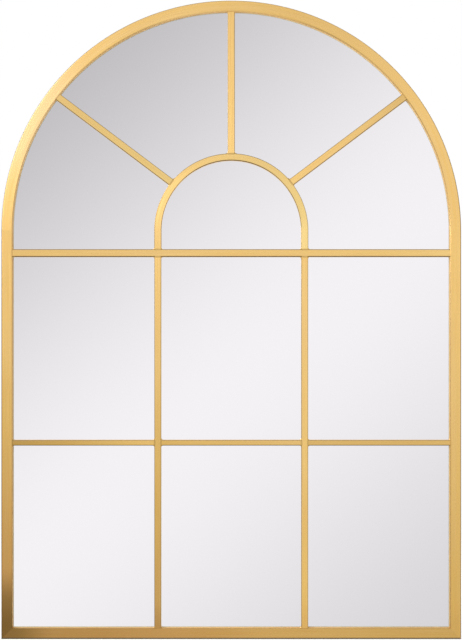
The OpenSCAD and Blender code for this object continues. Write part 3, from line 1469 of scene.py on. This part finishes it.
@dataclass(frozen=True)
class Run:
    """One tube or bar: its path in the drawing plane and its section.

    Near and far are the Y of its front and back faces, and radius is that of its edges.
    Start and end are the slopes of its end faces, forwards on the right side of the path.
    """

    node: str
    path: Sequence[Point2]
    width: float
    near: float
    far: float
    radius: float
    start: float = 0.0
    end: float = 0.0
    edge_steps: int = 5

    def build(self, sweep: SweepTree, gold: Finish) -> None:
        """Sweeps the run, shades it and hands it over for its CAD node.

        Args:
            sweep: The tree that draws a bar along a path.
            gold: The finish.
        """
        # Painted light and shade of this bar, at its two ends
        start_tone, end_tone = PAINTED_TONE.get(self.node, (0.0, 0.0))
        piece = sweep.run(
            f"{self.node}_brushed",
            path_mesh(self.path, (self.near + self.far) / 2),
            {
                "Face Width": self.width,
                "Depth": self.far - self.near,
                "Edge Radius": self.radius,
                "Edge Steps": self.edge_steps,
                "Start Cut": self.start,
                "End Cut": self.end,
                "Grain Shift": self.grain_shift(),
                "Start Tone": start_tone,
                "End Tone": end_tone,
                "Material": gold,
            },
        )
        even_normals(piece)
        hand_over(piece, [self.node])

    def ends(self) -> list[tuple[Vector, Vector]]:
        """Finds the path's ends.

        Returns:
            Each end, with the direction in which it leaves the bar.
        """
        pairs = ((self.path[0], self.path[1]), (self.path[-1], self.path[-2]))
        return [(Vector(end), (Vector(end) - Vector(last)).normalized()) for end, last in pairs]

    def grain_shift(self) -> float:
        """An offset from the node's name, so that no two runs share their streaks."""
        return sum(i * ord(letter) for i, letter in enumerate(self.node, 1)) % GRAIN_PLACES * GRAIN_STEP


@dataclass(frozen=True)
class RoundParts:
    """The like, round solids of one CAD node, all with their axes along Y."""

    node: str
    boxes: Sequence[tuple[Vector, Vector]]

    @classmethod
    def of(cls, node: str) -> "RoundParts":
        """Finds the solids of a CAD node."""
        return cls(node, solids_of(node))

    @property
    def radius(self) -> float:
        """Radius of one solid."""
        low, high = self.boxes[0]
        return (high.x - low.x) / 2

    @property
    def length(self) -> float:
        """Length of one solid along Y."""
        low, high = self.boxes[0]
        return high.y - low.y

    def fill(
        self,
        name: str,
        shape: Piece,
        finish: Finish,
        slot: Slot,
        copies: CopiesTree,
        seed: int,
        offset: float = 0.0,
    ) -> None:
        """Sets a shape in the place of every solid, each turned its own way.

        Args:
            name: The new piece's name.
            shape: The helper object to copy. It is removed.
            finish: The material.
            slot: The record's slot. Not used.
            copies: The tree that sets a shape at every point.
            seed: Seed of the random turns.
            offset: Where the shape's origin is, from the solid's front end along Y.
        """
        seats = [
            Seat(Vector(((a.x + b.x) / 2, a.y + offset, (a.z + b.z) / 2)))
            for a, b in self.boxes
        ]
        piece = copies.fill(name, shape, seats, finish, math.tau, seed)
        hand_over(piece, [self.node])


# The sub-assemblies


@dataclass(frozen=True)
class OuterFrame:
    """The arch tube, the two stiles and the bottom rail."""

    layout: Layout
    edge_radius: float = 1.5 * MM
    arch_steps: int = 180

    def build(self, sweep: SweepTree, gold: Finish) -> None:
        """Sweeps and dresses the four tubes of the frame."""
        for run in self.runs():
            run.build(sweep, gold)

    def runs(self) -> list[Run]:
        """The four tubes, mitred at the foot and square at the springline.

        Returns:
            One run for each tube.
        """
        place = self.layout
        half = place.tube / 2
        side = -place.left - half
        low = place.foot + half
        radius = place.crown - place.spring - half
        # A straight step leaves the arch's end half a step askew, and this cut squares it
        lean = math.tan(math.radians(90.0 / self.arch_steps))
        arch = [
            (x, z + place.spring)
            for x, z in arc_points(radius, 180.0, 0.0, self.arch_steps)
        ]
        section = (place.tube, place.front, place.back, self.edge_radius)
        return [
            Run("arch_tube", arch, *section, start=lean, end=-lean),
            Run(
                "left_stile", [(-side, low), (-side, place.spring)], *section,
                start=Cut.RIGHT_AHEAD.value,
            ),
            Run(
                "right_stile", [(side, low), (side, place.spring)], *section,
                start=Cut.LEFT_AHEAD.value,
            ),
            Run(
                "bottom_rail", [(-side, low), (side, low)], *section,
                start=Cut.LEFT_AHEAD.value, end=Cut.RIGHT_AHEAD.value,
            ),
        ]


def weld_shape(bm: bmesh.types.BMesh, name: str, stroke: Triple) -> Piece:
    """Makes a helper object of weld metal, brushed in one direction.

    Args:
        bm: The shape. It is freed.
        name: The helper object's name.
        stroke: The direction of the brushing.

    Returns:
        A helper object that the copies tree reads.
    """
    shape = link_object(name, closed_mesh(bm, name))
    spots = [v.co.copy() for v in shape.data.vertices]
    store_values(shape.data, "grain", spots)
    store_values(shape.data, "stroke", [Vector(stroke)] * len(spots))
    store_values(shape.data, "tone", [WELD_TONE] * len(spots))
    even_normals(shape, WELD_CREASE)
    return shape


@dataclass(frozen=True)
class WeldFillet:
    """A small concave fill of weld metal, ground smooth, in one corner of a joint.

    Sunk is how far it reaches into the bars, and inset how far it stays behind their
    faces. Its front edge is rounded in two steps, the middle one a share of the whole.
    """

    leg: float = 3.2 * MM
    sunk: float = 0.2 * MM
    inset: float = 0.35 * MM
    round_edge: float = 0.5 * MM
    round_middle: float = 0.3
    stroke: Triple = (0.7, 0.0, 0.7)
    steps: int = 7

    def build(self, name: str, near: float, far: float) -> Piece:
        """Makes the fill in the first quadrant of the drawing plane.

        Args:
            name: The helper object's name.
            near: Y of the bars' front face.
            far: Y of the bars' back face.

        Returns:
            A helper object that the copies tree reads.
        """
        front, back = near + self.inset, far - self.inset
        middle = self.round_edge * self.round_middle
        levels = [
            (front, self.round_edge),
            (front + middle, middle),
            (front + self.round_edge, 0.0),
            (back, 0.0),
        ]
        bm = bmesh.new()
        loft(bm, [[Vector((x, y, z)) for x, z in self.outline(i)] for y, i in levels])
        return weld_shape(bm, name, self.stroke)

    def outline(self, inset: float) -> list[Point2]:
        """Draws the fill's outline.

        Args:
            inset: How far it is drawn in on its concave side.

        Returns:
            The points in order.
        """
        curve = [
            (max(self.leg - x, 0.0), max(self.leg - z, 0.0))
            for x, z in arc_points(self.leg + inset, 0.0, 90.0, self.steps)
        ]
        low, reach = -self.sunk, self.leg - inset
        return [(low, low), (low, reach), *curve, (reach, low)]


@dataclass(frozen=True)
class SeamFill:
    """Weld metal that fills the groove where a bar butts another, ground flush.

    Lap is how far it covers the metal on both sides, feather is the width of its thin
    edge, and proud is how far it stands before the bars.
    """

    groove: float
    lap: float = 0.9 * MM
    feather: float = 0.15 * MM
    proud: float = 0.012 * MM
    stroke: Triple = (1.0, 0.0, 0.0)

    def build(self, name: str, near: float) -> Piece:
        """Makes a fill 1 m long along X, which each copy's stretch brings to size.

        Args:
            name: The helper object's name.
            near: Y of the bars' front face.

        Returns:
            A helper object that the copies tree reads.
        """
        face, floor = near - self.proud, near + self.groove
        back, front = -self.lap, self.groove + self.lap
        section = [
            (floor, 0.0),
            (near, back),
            (face, back + self.feather),
            (face, front - self.feather),
            (near, front),
            (floor, self.groove),
        ]
        bm = bmesh.new()
        loft(bm, [[Vector((x, y, z)) for y, z in section] for x in (-0.5, 0.0, 0.5)])
        return weld_shape(bm, name, self.stroke)


@dataclass(frozen=True)
class Grille:
    """The inner arch, mullions, crossbars and spokes, with their weld metal.

    The side spokes rise at the spoke angle, in degrees. All three run out from one point,
    which is above the springline by the spoke aim. A bar's end that is within the slack of
    a tube stands on the tube.
    """

    layout: Layout
    edge_radius: float = 0.8 * MM
    spoke_angle: float = 37.0
    spoke_aim: float = 4.5 * MM
    arch_steps: int = 120
    slack: float = 1.0 * MM

    def build(self, sweep: SweepTree, copies: CopiesTree, gold: Finish) -> None:
        """Sweeps the bars, then fills their joints with weld metal.

        Args:
            sweep: The tree that draws a bar along a path.
            copies: The tree that sets a shape at every point.
            gold: The finish.
        """
        runs = self.runs()
        for run in runs:
            run.build(sweep, gold)
        self.weld(runs, copies, gold)

    def runs(self) -> list[Run]:
        """All ten bars of the grille.

        Returns:
            One run for each bar, every one with its ends on the metal that it meets.
        """
        low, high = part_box("inner_arch")
        top_low, top_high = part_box("top_spoke")
        bar = top_high.x - top_low.x
        spring = self.layout.spring
        ring = high.z - spring - bar / 2
        arch = [(x, z + spring) for x, z in arc_points(ring, 180.0, 0.0, self.arch_steps)]
        section = (low.y, high.y, self.edge_radius)
        runs = [Run("inner_arch", [(-ring, low.z), *arch, (ring, low.z)], bar, *section)]
        for side in Side:
            node = f"{side.value}_mullion"
            foot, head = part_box(node)
            middle = (foot.x + head.x) / 2
            path = [(middle, foot.z), (middle, head.z)]
            runs.append(Run(node, path, head.x - foot.x, *section))
        lower = [f"lower_crossbar_{place}" for place in ("left", "centre", "right")]
        for node in ("upper_crossbar", *lower):
            left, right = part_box(node)
            level = (left.z + right.z) / 2
            path = [(left.x, level), (right.x, level)]
            runs.append(Run(node, path, right.z - left.z, *section))
        angles = {
            "top_spoke": 90.0,
            "left_spoke": 180.0 - self.spoke_angle,
            "right_spoke": self.spoke_angle,
        }
        for node, angle in angles.items():
            path = self.spoke_path(math.radians(angle), (ring + bar / 2, self.layout.inner))
            runs.append(Run(node, path, bar, *section))
        return runs

    def spoke_path(self, angle: float, radii: Pair) -> list[Point2]:
        """A spoke's line, from the outside of the inner arch to the inside of the tube.

        Args:
            angle: The spoke's direction in radians, counter-clockwise from X.
            radii: Radii of the two arches round the middle of the springline.

        Returns:
            The two ends of the line.
        """
        across, rise = self.spoke_aim * math.cos(angle), self.spoke_aim * math.sin(angle)
        reach = [math.sqrt(r * r - across * across) - rise for r in radii]
        aim = self.layout.spring + self.spoke_aim
        return [(t * math.cos(angle), aim + t * math.sin(angle)) for t in reach]

    def weld(self, runs: Sequence[Run], copies: CopiesTree, gold: Finish) -> None:
        """Fills the corners at each bar's ends, and the grooves between flush bars.

        Args:
            runs: The bars.
            copies: The tree that sets a shape at every point.
            gold: The bars' finish.
        """
        corners: list[Seat] = []
        seams: list[Seat] = []
        for run in runs:
            for end, ahead in run.ends():
                left = Vector((-ahead.y, ahead.x))
                for way, axis in ((left, left), (-left, -ahead)):
                    corner = end + way * run.width / 2
                    place = Vector((corner.x, 0.0, corner.y))
                    corners.append(Seat(place, math.atan2(axis.y, axis.x)))
                if self.meets_bar(end):
                    place = Vector((end.x, 0.0, end.y))
                    turn = math.atan2(ahead.y, ahead.x) - math.pi / 2
                    seams.append(Seat(place, turn, run.width - 2 * run.radius))
        near, far = runs[0].near, runs[0].far
        fillet = WeldFillet().build("fillet_shape", near, far)
        seam = SeamFill(self.edge_radius).build("seam_shape", near)
        hand_over(copies.fill("weld_fillets", fillet, corners, gold))
        hand_over(copies.fill("weld_seams", seam, seams, gold))

    def meets_bar(self, end: Vector) -> bool:
        """Tells where a bar's end stands.

        Args:
            end: The end, in the drawing plane.

        Returns:
            True on another bar, and False on the frame's tube.
        """
        place = self.layout
        inner = place.inner - self.slack
        if end.y < place.spring:
            return abs(end.x) < inner and end.y > place.foot + place.tube + self.slack
        return math.hypot(end.x, end.y - place.spring) < inner


@dataclass(frozen=True)
class ArchedSheet:
    """A flat sheet with the mirror's arched outline and a small arris all round."""

    node: str
    arris: float
    arch_steps: int = 180
    crease: float = 30.0

    def build(self, name: str, spring: float, finishes: Sequence[Finish]) -> Piece:
        """Makes the sheet in its CAD node's box.

        Args:
            name: The piece's name.
            spring: Height of the arch's centre.
            finishes: Materials of the front, the edge with its arrises, and the back.

        Returns:
            The sheet.
        """
        low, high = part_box(self.node)
        levels = [
            (low.y, self.arris),
            (low.y + self.arris, 0.0),
            (high.y - self.arris, 0.0),
            (high.y, self.arris),
        ]
        sections = [
            [Vector((x, y, z)) for x, z in self.outline(low, high, spring, inset)]
            for y, inset in levels
        ]
        bm = bmesh.new()
        loft(bm, sections, finishes=(0, 1, 2))
        sheet = link_object(name, closed_mesh(bm, name))
        for finish in finishes:
            sheet.data.materials.append(finish)
        even_normals(sheet, self.crease)
        return sheet

    def outline(
        self, low: Vector, high: Vector, spring: float, inset: float
    ) -> list[Point2]:
        """Draws the outline: two lower corners and the arch.

        Args:
            low: Lowest corner of the CAD node's box.
            high: Highest corner of the box.
            spring: Height of the arch's centre.
            inset: How far the outline is drawn in.

        Returns:
            The points in order.
        """
        radius = high.z - spring - inset
        half = min(high.x - inset, radius)
        arch = [
            (x * half / radius, z + spring)
            for x, z in arc_points(radius, 0.0, 180.0, self.arch_steps)
        ]
        foot = low.z + inset
        return [(half, foot), *arch, (-half, foot)]


@dataclass(frozen=True)
class MirrorPack:
    """The glass, its pads and setting blocks, the foam sheet and the backing board.

    A pad's fuzz is a share of its thickness, and its waist is a share of the fuzz. A
    crease is the bend in degrees above which an edge stays crisp.
    """

    layout: Layout
    glass_arris: float = 0.6 * MM
    foam_arris: float = 0.3 * MM
    board_arris: float = 0.5 * MM
    block_round: float = 0.2 * MM
    bead_width: float = 1.2 * MM
    bead_height: float = 0.5 * MM
    bead_round: float = 0.225 * MM
    bead_lap: float = 0.05 * MM
    bead_edge_steps: int = 3
    bead_steps: int = 120
    bead_crease: float = 50.0
    pad_fuzz: float = 0.25
    pad_waist: float = 0.3
    pad_steps: int = 28
    pad_crease: float = 60.0
    pad_seed: int = 3

    def build(self, finishes: Finishes, sweep: SweepTree, copies: CopiesTree) -> None:
        """Makes and dresses every layer.

        Args:
            finishes: The mirror's finishes.
            sweep: The tree that draws a bar along a path.
            copies: The tree that sets a shape at every point.
        """
        spring = self.layout.spring
        glass = ArchedSheet("mirror_glass", self.glass_arris).build(
            "mirror_sheet", spring, [finishes.silver, finishes.glass_edge, finishes.mirror_back]
        )
        hand_over(glass, ["mirror_glass"])
        foam = ArchedSheet("foam_sheet", self.foam_arris).build(
            "foam_layer", spring, [finishes.foam] * 3
        )
        hand_over(foam, ["foam_sheet"])
        board = ArchedSheet("backing_board", self.board_arris).build(
            "hardboard_back", spring,
            [finishes.board_front, finishes.board_edge, finishes.board],
        )
        hand_over(board, ["backing_board"])
        blocks = SoftCopy("setting_blocks", self.block_round).build(
            "rubber_setting_blocks", finishes.grey_rubber
        )
        hand_over(blocks, ["setting_blocks"])
        self.pads(finishes.felt, copies)
        self.bead(finishes.sealant, sweep)

    def bead(self, sealant: Finish, sweep: SweepTree) -> None:
        """Runs a thin bead of sealant round the glass, over its gap to the tube.

        Args:
            sealant: The finish.
            sweep: The tree that draws a bar along a path.
        """
        place = self.layout
        half = place.inner - self.bead_width / 2
        foot = place.foot + place.tube + self.bead_width / 2
        arch = [
            (x, z + place.spring) for x, z in arc_points(half, 0.0, 180.0, self.bead_steps)
        ]
        path = [(0.0, foot), (half, foot), *arch, (-half, foot), (0.0, foot)]
        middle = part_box("mirror_glass")[0].y + self.bead_lap - self.bead_height / 2
        piece = sweep.run(
            "edge_bead",
            path_mesh(path, middle),
            {
                "Face Width": self.bead_width,
                "Depth": self.bead_height,
                "Edge Radius": self.bead_round,
                "Edge Steps": self.bead_edge_steps,
                "Material": sealant,
            },
        )
        even_normals(piece, self.bead_crease)
        hand_over(piece)

    def pads(self, felt: Finish, copies: CopiesTree) -> None:
        """Sets a felt dot wherever the CAD has a pad between a bar and the glass.

        Args:
            felt: The finish.
            copies: The tree that sets a shape at every point.
        """
        parts = RoundParts.of("glass_pads")
        radius, thick = parts.radius, parts.length
        fuzz = thick * self.pad_fuzz
        profile = [
            (0.0, 0.0),
            (radius - fuzz, 0.0),
            (radius, fuzz),
            (radius - fuzz * self.pad_waist, thick / 2),
            (radius, thick - fuzz),
            (radius - fuzz, thick),
            (0.0, thick),
        ]
        shape = turned_shape("pad_shape", profile, self.pad_steps, self.pad_crease)
        parts.fill("felt_pads", shape, felt, Slot.FELT, copies, self.pad_seed)


@dataclass(frozen=True)
class PanHeadScrew:
    """A pan head screw with a cross recess and a shank ringed for its thread.

    It is driven towards -Y, and its length is that of the whole screw. The rim is a share
    of the head's height, the underside and the recess's reach are shares of its radius,
    and the recess's top and low end are shares of that reach and of the recess's width.
    The lead is a share of the pitch, and the tip is a share of the shank's radius.
    """

    head_radius: float
    length: float
    shank_radius: float = 2.0 * MM
    shank_length: float = 9.0 * MM
    head_rim: float = 0.42
    head_under: float = 0.97
    recess_width: float = 0.9 * MM
    recess_depth: float = 1.1 * MM
    recess_above: float = 0.2 * MM
    recess_reach: float = 0.56
    recess_top: Pair = (1.1, 1.0)
    recess_low: Pair = (0.45, 0.6)
    pitch: float = 0.7 * MM
    thread: float = 0.28 * MM
    lead: float = 0.4
    tip: float = 0.6
    dome_steps: int = 7
    steps: int = 32
    crease: float = 38.0

    @property
    def head_height(self) -> float:
        """Height of the head above the underside."""
        return self.length - self.shank_length

    def build(self, name: str) -> Piece:
        """Makes the screw with the underside of its head at Y = 0.

        Args:
            name: The helper object's name.

        Returns:
            A helper object that the copies tree reads.
        """
        screw = link_object(name, lathe(name, self.profile(), self.steps))
        cutter = link_object(f"{name}_cross", self.cross(f"{name}_cross"))
        cut = screw.modifiers.new("cross", "BOOLEAN")
        cut.object = cutter
        cut.operation = "DIFFERENCE"
        cut.solver = "EXACT"
        apply_modifiers(screw)
        bpy.data.objects.remove(cutter)
        even_normals(screw, self.crease)
        return screw

    def profile(self) -> list[Point2]:
        """Draws half the screw's outline, its head above Y = 0 and its thread below.

        Returns:
            Points as (radius, y), from the top of the head to the tip.
        """
        rim = self.head_rim
        dome = [
            (self.head_radius * x, self.head_height * (rim + (1.0 - rim) * y))
            for x, y in arc_points(1.0, 0.0, 90.0, self.dome_steps)
        ]
        outline = [(0.0, self.head_height), *reversed(dome[:-1])]
        outline.append((self.head_radius * self.head_under, 0.0))
        outline.append((self.shank_radius, 0.0))
        for turn in range(int(self.shank_length / self.pitch) - 1):
            top = -self.pitch * (turn + self.lead)
            outline.append((self.shank_radius - self.thread, top))
            outline.append((self.shank_radius, top - self.pitch / 2))
        outline.append((self.shank_radius * self.tip, -self.shank_length))
        outline.append((0.0, -self.shank_length))
        return outline

    def cross(self, name: str) -> Mesh:
        """Makes the tapered cross that cuts the driver recess.

        Args:
            name: The mesh's name.

        Returns:
            The closed mesh.
        """
        wide, narrow = self.head_radius * self.recess_reach, self.recess_width / 2
        levels = (
            (self.head_height + self.recess_above, self.recess_top),
            (self.head_height - self.recess_depth, self.recess_low),
        )
        turns = [Matrix.Rotation(-math.pi / 2 * i, 3, "Y") for i in range(4)]
        sections = []
        for y, (longer, wider) in levels:
            reach, half = wide * longer, narrow * wider
            arm = [(reach, -half), (reach, half), (half, half)]
            sections.append([turn @ Vector((x, y, z)) for turn in turns for x, z in arm])
        bm = bmesh.new()
        loft(bm, sections)
        return closed_mesh(bm, name)


def drive_screws(node: str, zinc: Finish, copies: CopiesTree, seed: int) -> None:
    """Sets a screw wherever a CAD node has one, each turned its own way.

    Args:
        node: The CAD node with the screws.
        zinc: Their finish.
        copies: The tree that sets a shape at every point.
        seed: Seed of the random turns.
    """
    parts = RoundParts.of(node)
    screw = PanHeadScrew(parts.radius, parts.length)
    shape = screw.build(f"{node}_shape")
    parts.fill(f"{node}_zinc", shape, zinc, Slot.ZINC, copies, seed, screw.shank_length)


@dataclass(frozen=True)
class TurnButtons:
    """The ten turn buttons that hold the board in, with their washers and screws."""

    stamped_round: float = 0.25 * MM
    washer_bore: float = 2.2 * MM
    washer_round: float = 0.12 * MM
    washer_steps: int = 40
    washer_crease: float = 50.0
    washer_seed: int = 5
    screw_seed: int = 7

    def build(self, zinc: Finish, copies: CopiesTree) -> None:
        """Dresses each button on its own body, then sets the washers and screws.

        Args:
            zinc: The finish.
            copies: The tree that sets a shape at every point.
        """
        for joint in frame["joints"]:
            node = joint["child"]
            piece = SoftCopy(node, self.stamped_round).build(f"{node}_zinc", zinc)
            hand_over(piece, [node], node)
        self.washers(zinc, copies)
        drive_screws("turn_button_screws", zinc, copies, self.screw_seed)

    def washers(self, zinc: Finish, copies: CopiesTree) -> None:
        """Sets a washer between each button and its tube.

        Args:
            zinc: The finish.
            copies: The tree that sets a shape at every point.
        """
        parts = RoundParts.of("turn_button_washers")
        outer, thick = parts.radius, parts.length
        inner, soft = self.washer_bore, self.washer_round
        profile = [
            (inner + soft, 0.0),
            (outer - soft, 0.0),
            (outer, soft),
            (outer, thick - soft),
            (outer - soft, thick),
            (inner + soft, thick),
            (inner, thick - soft),
            (inner, soft),
        ]
        shape = turned_shape("washer_shape", profile, self.washer_steps, self.washer_crease)
        parts.fill("zinc_washers", shape, zinc, Slot.ZINC, copies, self.washer_seed)


@dataclass(frozen=True)
class WallFittings:
    """The two keyhole hangers, their screws and the four wall bumpers.

    A bumper's lip is a share of its height. Its bumps are shares of radius and height.
    """

    stamped_round: float = 0.2 * MM
    lip: float = 0.06
    bumps: Sequence[Pair] = (
        (1.0, 0.16), (0.94, 0.26), (0.88, 0.55), (0.8, 0.8), (0.744, 0.93), (0.64, 1.0),
    )
    bumper_steps: int = 40
    bumper_crease: float = 50.0
    bumper_seed: int = 13
    screw_seed: int = 11

    def build(self, finishes: Finishes, copies: CopiesTree) -> None:
        """Dresses the hangers, then sets their screws and the bumpers.

        Args:
            finishes: The mirror's finishes.
            copies: The tree that sets a shape at every point.
        """
        for side in Side:
            node = f"hanger_{side.value}"
            piece = SoftCopy(node, self.stamped_round).build(f"{node}_zinc", finishes.zinc)
            hand_over(piece, [node])
        drive_screws("hanger_screws", finishes.zinc, copies, self.screw_seed)
        self.bumpers(finishes.rubber, copies)

    def bumpers(self, rubber: Finish, copies: CopiesTree) -> None:
        """Sets a domed rubber bumper wherever the CAD has one.

        Args:
            rubber: The finish.
            copies: The tree that sets a shape at every point.
        """
        parts = RoundParts.of("wall_bumpers")
        radius, tall = parts.radius, parts.length
        lip = tall * self.lip
        profile = [
            (0.0, 0.0),
            (radius - lip, 0.0),
            (radius, lip),
            *((radius * out, tall * up) for out, up in self.bumps),
            (0.0, tall),
        ]
        shape = turned_shape("bumper_shape", profile, self.bumper_steps, self.bumper_crease)
        parts.fill("rubber_bumpers", shape, rubber, Slot.RUBBER, copies, self.bumper_seed)


# Studio


@dataclass(frozen=True)
class Lamp:
    """One square soft lamp."""

    name: str
    where: Triple
    size: float
    power: float

    def hang(self, aim: Vector) -> None:
        """Hangs the lamp in the scene.

        Args:
            aim: The point that it is turned to.
        """
        data = bpy.data.lights.new(self.name, "AREA")
        data.shape = "SQUARE"
        data.size = self.size
        data.energy = self.power
        lamp = link_object(self.name, data)
        lamp.location = self.where
        way = aim - Vector(self.where)
        lamp.rotation_euler = way.to_track_quat("-Z", "Y").to_euler()


@dataclass(frozen=True)
class Studio:
    """The camera, the soft lights, the world and the pale floor.

    The bands are stops of brightness across the band axis, from -1 to 1. They lift away
    from the middle, and give way to waving walls for what looks aside. Fade is how far
    from the origin the floor starts and ends to fade out.
    """

    layout: Layout
    picture_height: int = 640
    metres_per_pixel: float = 1.5438 * MM
    distance: float = 4.0
    clip: Pair = (0.05, 50.0)
    middle: Point2 = (-0.0004, -0.0963)
    floor_drop: float = 0.07
    floor_reach: float = 6.0
    floor_grey: float = 0.9
    floor_roughness: float = 0.9
    fade: Pair = (1.2, 3.6)
    backdrop: Colour = (1.0, 1.0, 1.0)
    band_axis: Pair = (0.644, -0.765)
    bands: Sequence[Pair] = (
        (-1.0, 1.05), (-0.55, 1.68), (-0.22, 1.26), (-0.1475, 0.525), (0.01875, 0.987),
        (0.17, 0.714), (0.25, 1.26), (0.62, 1.68), (1.0, 1.05),
    )
    lift_reach: Pair = (0.2, 0.6)
    lift: Pair = (1.0, 1.65)
    aside: Pair = (0.97, 0.9)
    wall_waves: float = 8.0
    wall_sway: float = 0.6
    wall_heights: Pair = (-1.2, 1.2)
    wall_levels: Pair = (0.78, 1.08)
    lamps: Sequence[Lamp] = (
        Lamp("key", (-2.3, -2.6, 1.1), 2.0, 60.0),
        Lamp("back_fill", (1.6, 2.4, 1.3), 1.6, 22.0),
    )

    def build(self) -> None:
        """Sets the whole studio up: camera, world, floor, key at the upper left and fill."""
        self.camera()
        self.world()
        self.floor()
        for lamp in self.lamps:
            lamp.hang(Vector((0.0, 0.0, self.middle[1])))

    def camera(self) -> None:
        """Puts the camera square in front, framed as the photograph is."""
        data = bpy.data.cameras.new("front_camera")
        seen = self.picture_height * self.metres_per_pixel
        data.lens = data.sensor_width * self.distance / seen
        data.clip_start, data.clip_end = self.clip
        camera = link_object("front_camera", data)
        camera.location = (self.middle[0], self.layout.front - self.distance, self.middle[1])
        camera.rotation_euler = (math.pi / 2, 0.0, 0.0)
        bpy.context.scene.camera = camera

    def world(self) -> None:
        """Makes a white room with soft slanting bands of light that the metal sees."""
        world = bpy.data.worlds.new("pale_room")
        bpy.context.scene.world = world
        world.use_nodes = True
        w = NodeWriter(world.node_tree)
        w.tree.nodes.clear()
        way = w.add("ShaderNodeTexCoord").outputs["Generated"]
        axis_x, axis_z = self.band_axis
        across = w.vector("DOT_PRODUCT", way, (axis_x, 0.0, axis_z))
        length = w.vector("DOT_PRODUCT", way, (-axis_z, 0.0, axis_x))
        lift = w.span(w.math("ABSOLUTE", length), self.lift_reach, self.lift, smooth=True)
        bands = w.scale(self.band_ramp(w, across), lift)
        _, depth, height = w.split(way)
        aside = w.span(w.math("ABSOLUTE", depth), self.aside, smooth=True)
        wave = w.math("SINE", w.math("MULTIPLY", across, self.wall_waves))
        tone = w.math("MULTIPLY_ADD", wave, self.wall_sway, height)
        wall = w.span(tone, self.wall_heights, self.wall_levels)
        seen = w.add("ShaderNodeLightPath").outputs["Is Camera Ray"]
        shown = w.mix(seen, w.mix(aside, bands, wall), self.backdrop)
        back = w.result("ShaderNodeBackground", {"Color": shown, "Strength": 1.0})
        w.add("ShaderNodeOutputWorld", {"Surface": back})

    def band_ramp(self, w: NodeWriter, across: Socket) -> Socket:
        """Shades the bands by the place across them.

        Args:
            w: The world's tree.
            across: The place on the band axis, from -1 to 1.

        Returns:
            The brightness, as a grey colour.
        """
        ramp = w.add("ShaderNodeValToRGB", {"Fac": w.span(across, (-1.0, 1.0))})
        ramp.color_ramp.interpolation = "EASE"
        elements = ramp.color_ramp.elements
        while len(elements) < len(self.bands):
            elements.new(1.0)
        for element, (where, level) in zip(elements, self.bands):
            element.position = (where + 1) / 2
            element.color = (level, level, level, 1.0)
        return ramp.outputs[0]

    def floor(self) -> None:
        """Lays a pale floor a little below the mirror's foot."""
        reach = self.floor_reach
        level = self.layout.foot - self.floor_drop
        mesh = bpy.data.meshes.new("pale_floor")
        corners = [(-reach, -reach), (reach, -reach), (reach, reach), (-reach, reach)]
        mesh.from_pydata([(x, y, level) for x, y in corners], [], [(0, 1, 2, 3)])
        floor = link_object("pale_floor", mesh)
        floor.data.materials.append(self.floor_paper())

    def floor_paper(self) -> Finish:
        """Writes the floor's finish.

        It fades out away from the mirror, so that the floor has no edge against the room.
        Metal and glass don't see it, and from below it is clear.

        Returns:
            The finished material.
        """
        w = ShaderWriter("floor_paper")
        w.set(base_color=(*(self.floor_grey,) * 3, 1.0), roughness=self.floor_roughness)
        path = w.add("ShaderNodeLightPath").outputs
        through = w.math("MAXIMUM", path["Is Glossy Ray"], path["Is Transmission Ray"])
        radius = w.vector("LENGTH", w.place())
        through = w.math("MAXIMUM", through, w.span(radius, self.fade, smooth=True))
        under = w.add("ShaderNodeNewGeometry").outputs["Backfacing"]
        through = w.math("MAXIMUM", through, under)
        clear = w.result("ShaderNodeBsdfTransparent")
        mixed = w.result(
            "ShaderNodeMixShader", {0: through, 1: w.shader.outputs[0], 2: clear}
        )
        w.feed(w.output.inputs["Surface"], mixed)
        return w.material


def main() -> None:
    """Builds the sub-assemblies in order, then the studio round them."""
    logging.basicConfig(level=logging.INFO, format="%(name)s: %(message)s")
    bpy.context.scene.view_settings.view_transform = "Standard"
    layout = Layout.from_frame()
    finishes = Finishes(layout)
    sweep = SweepTree()
    copies = CopiesTree()
    OuterFrame(layout).build(sweep, finishes.gold)
    Grille(layout).build(sweep, copies, finishes.bar_gold)
    MirrorPack(layout).build(finishes, sweep, copies)
    TurnButtons().build(finishes.zinc, copies)
    WallFittings().build(finishes, copies)
    Studio(layout).build()


if __name__ == "__main__":
    main()
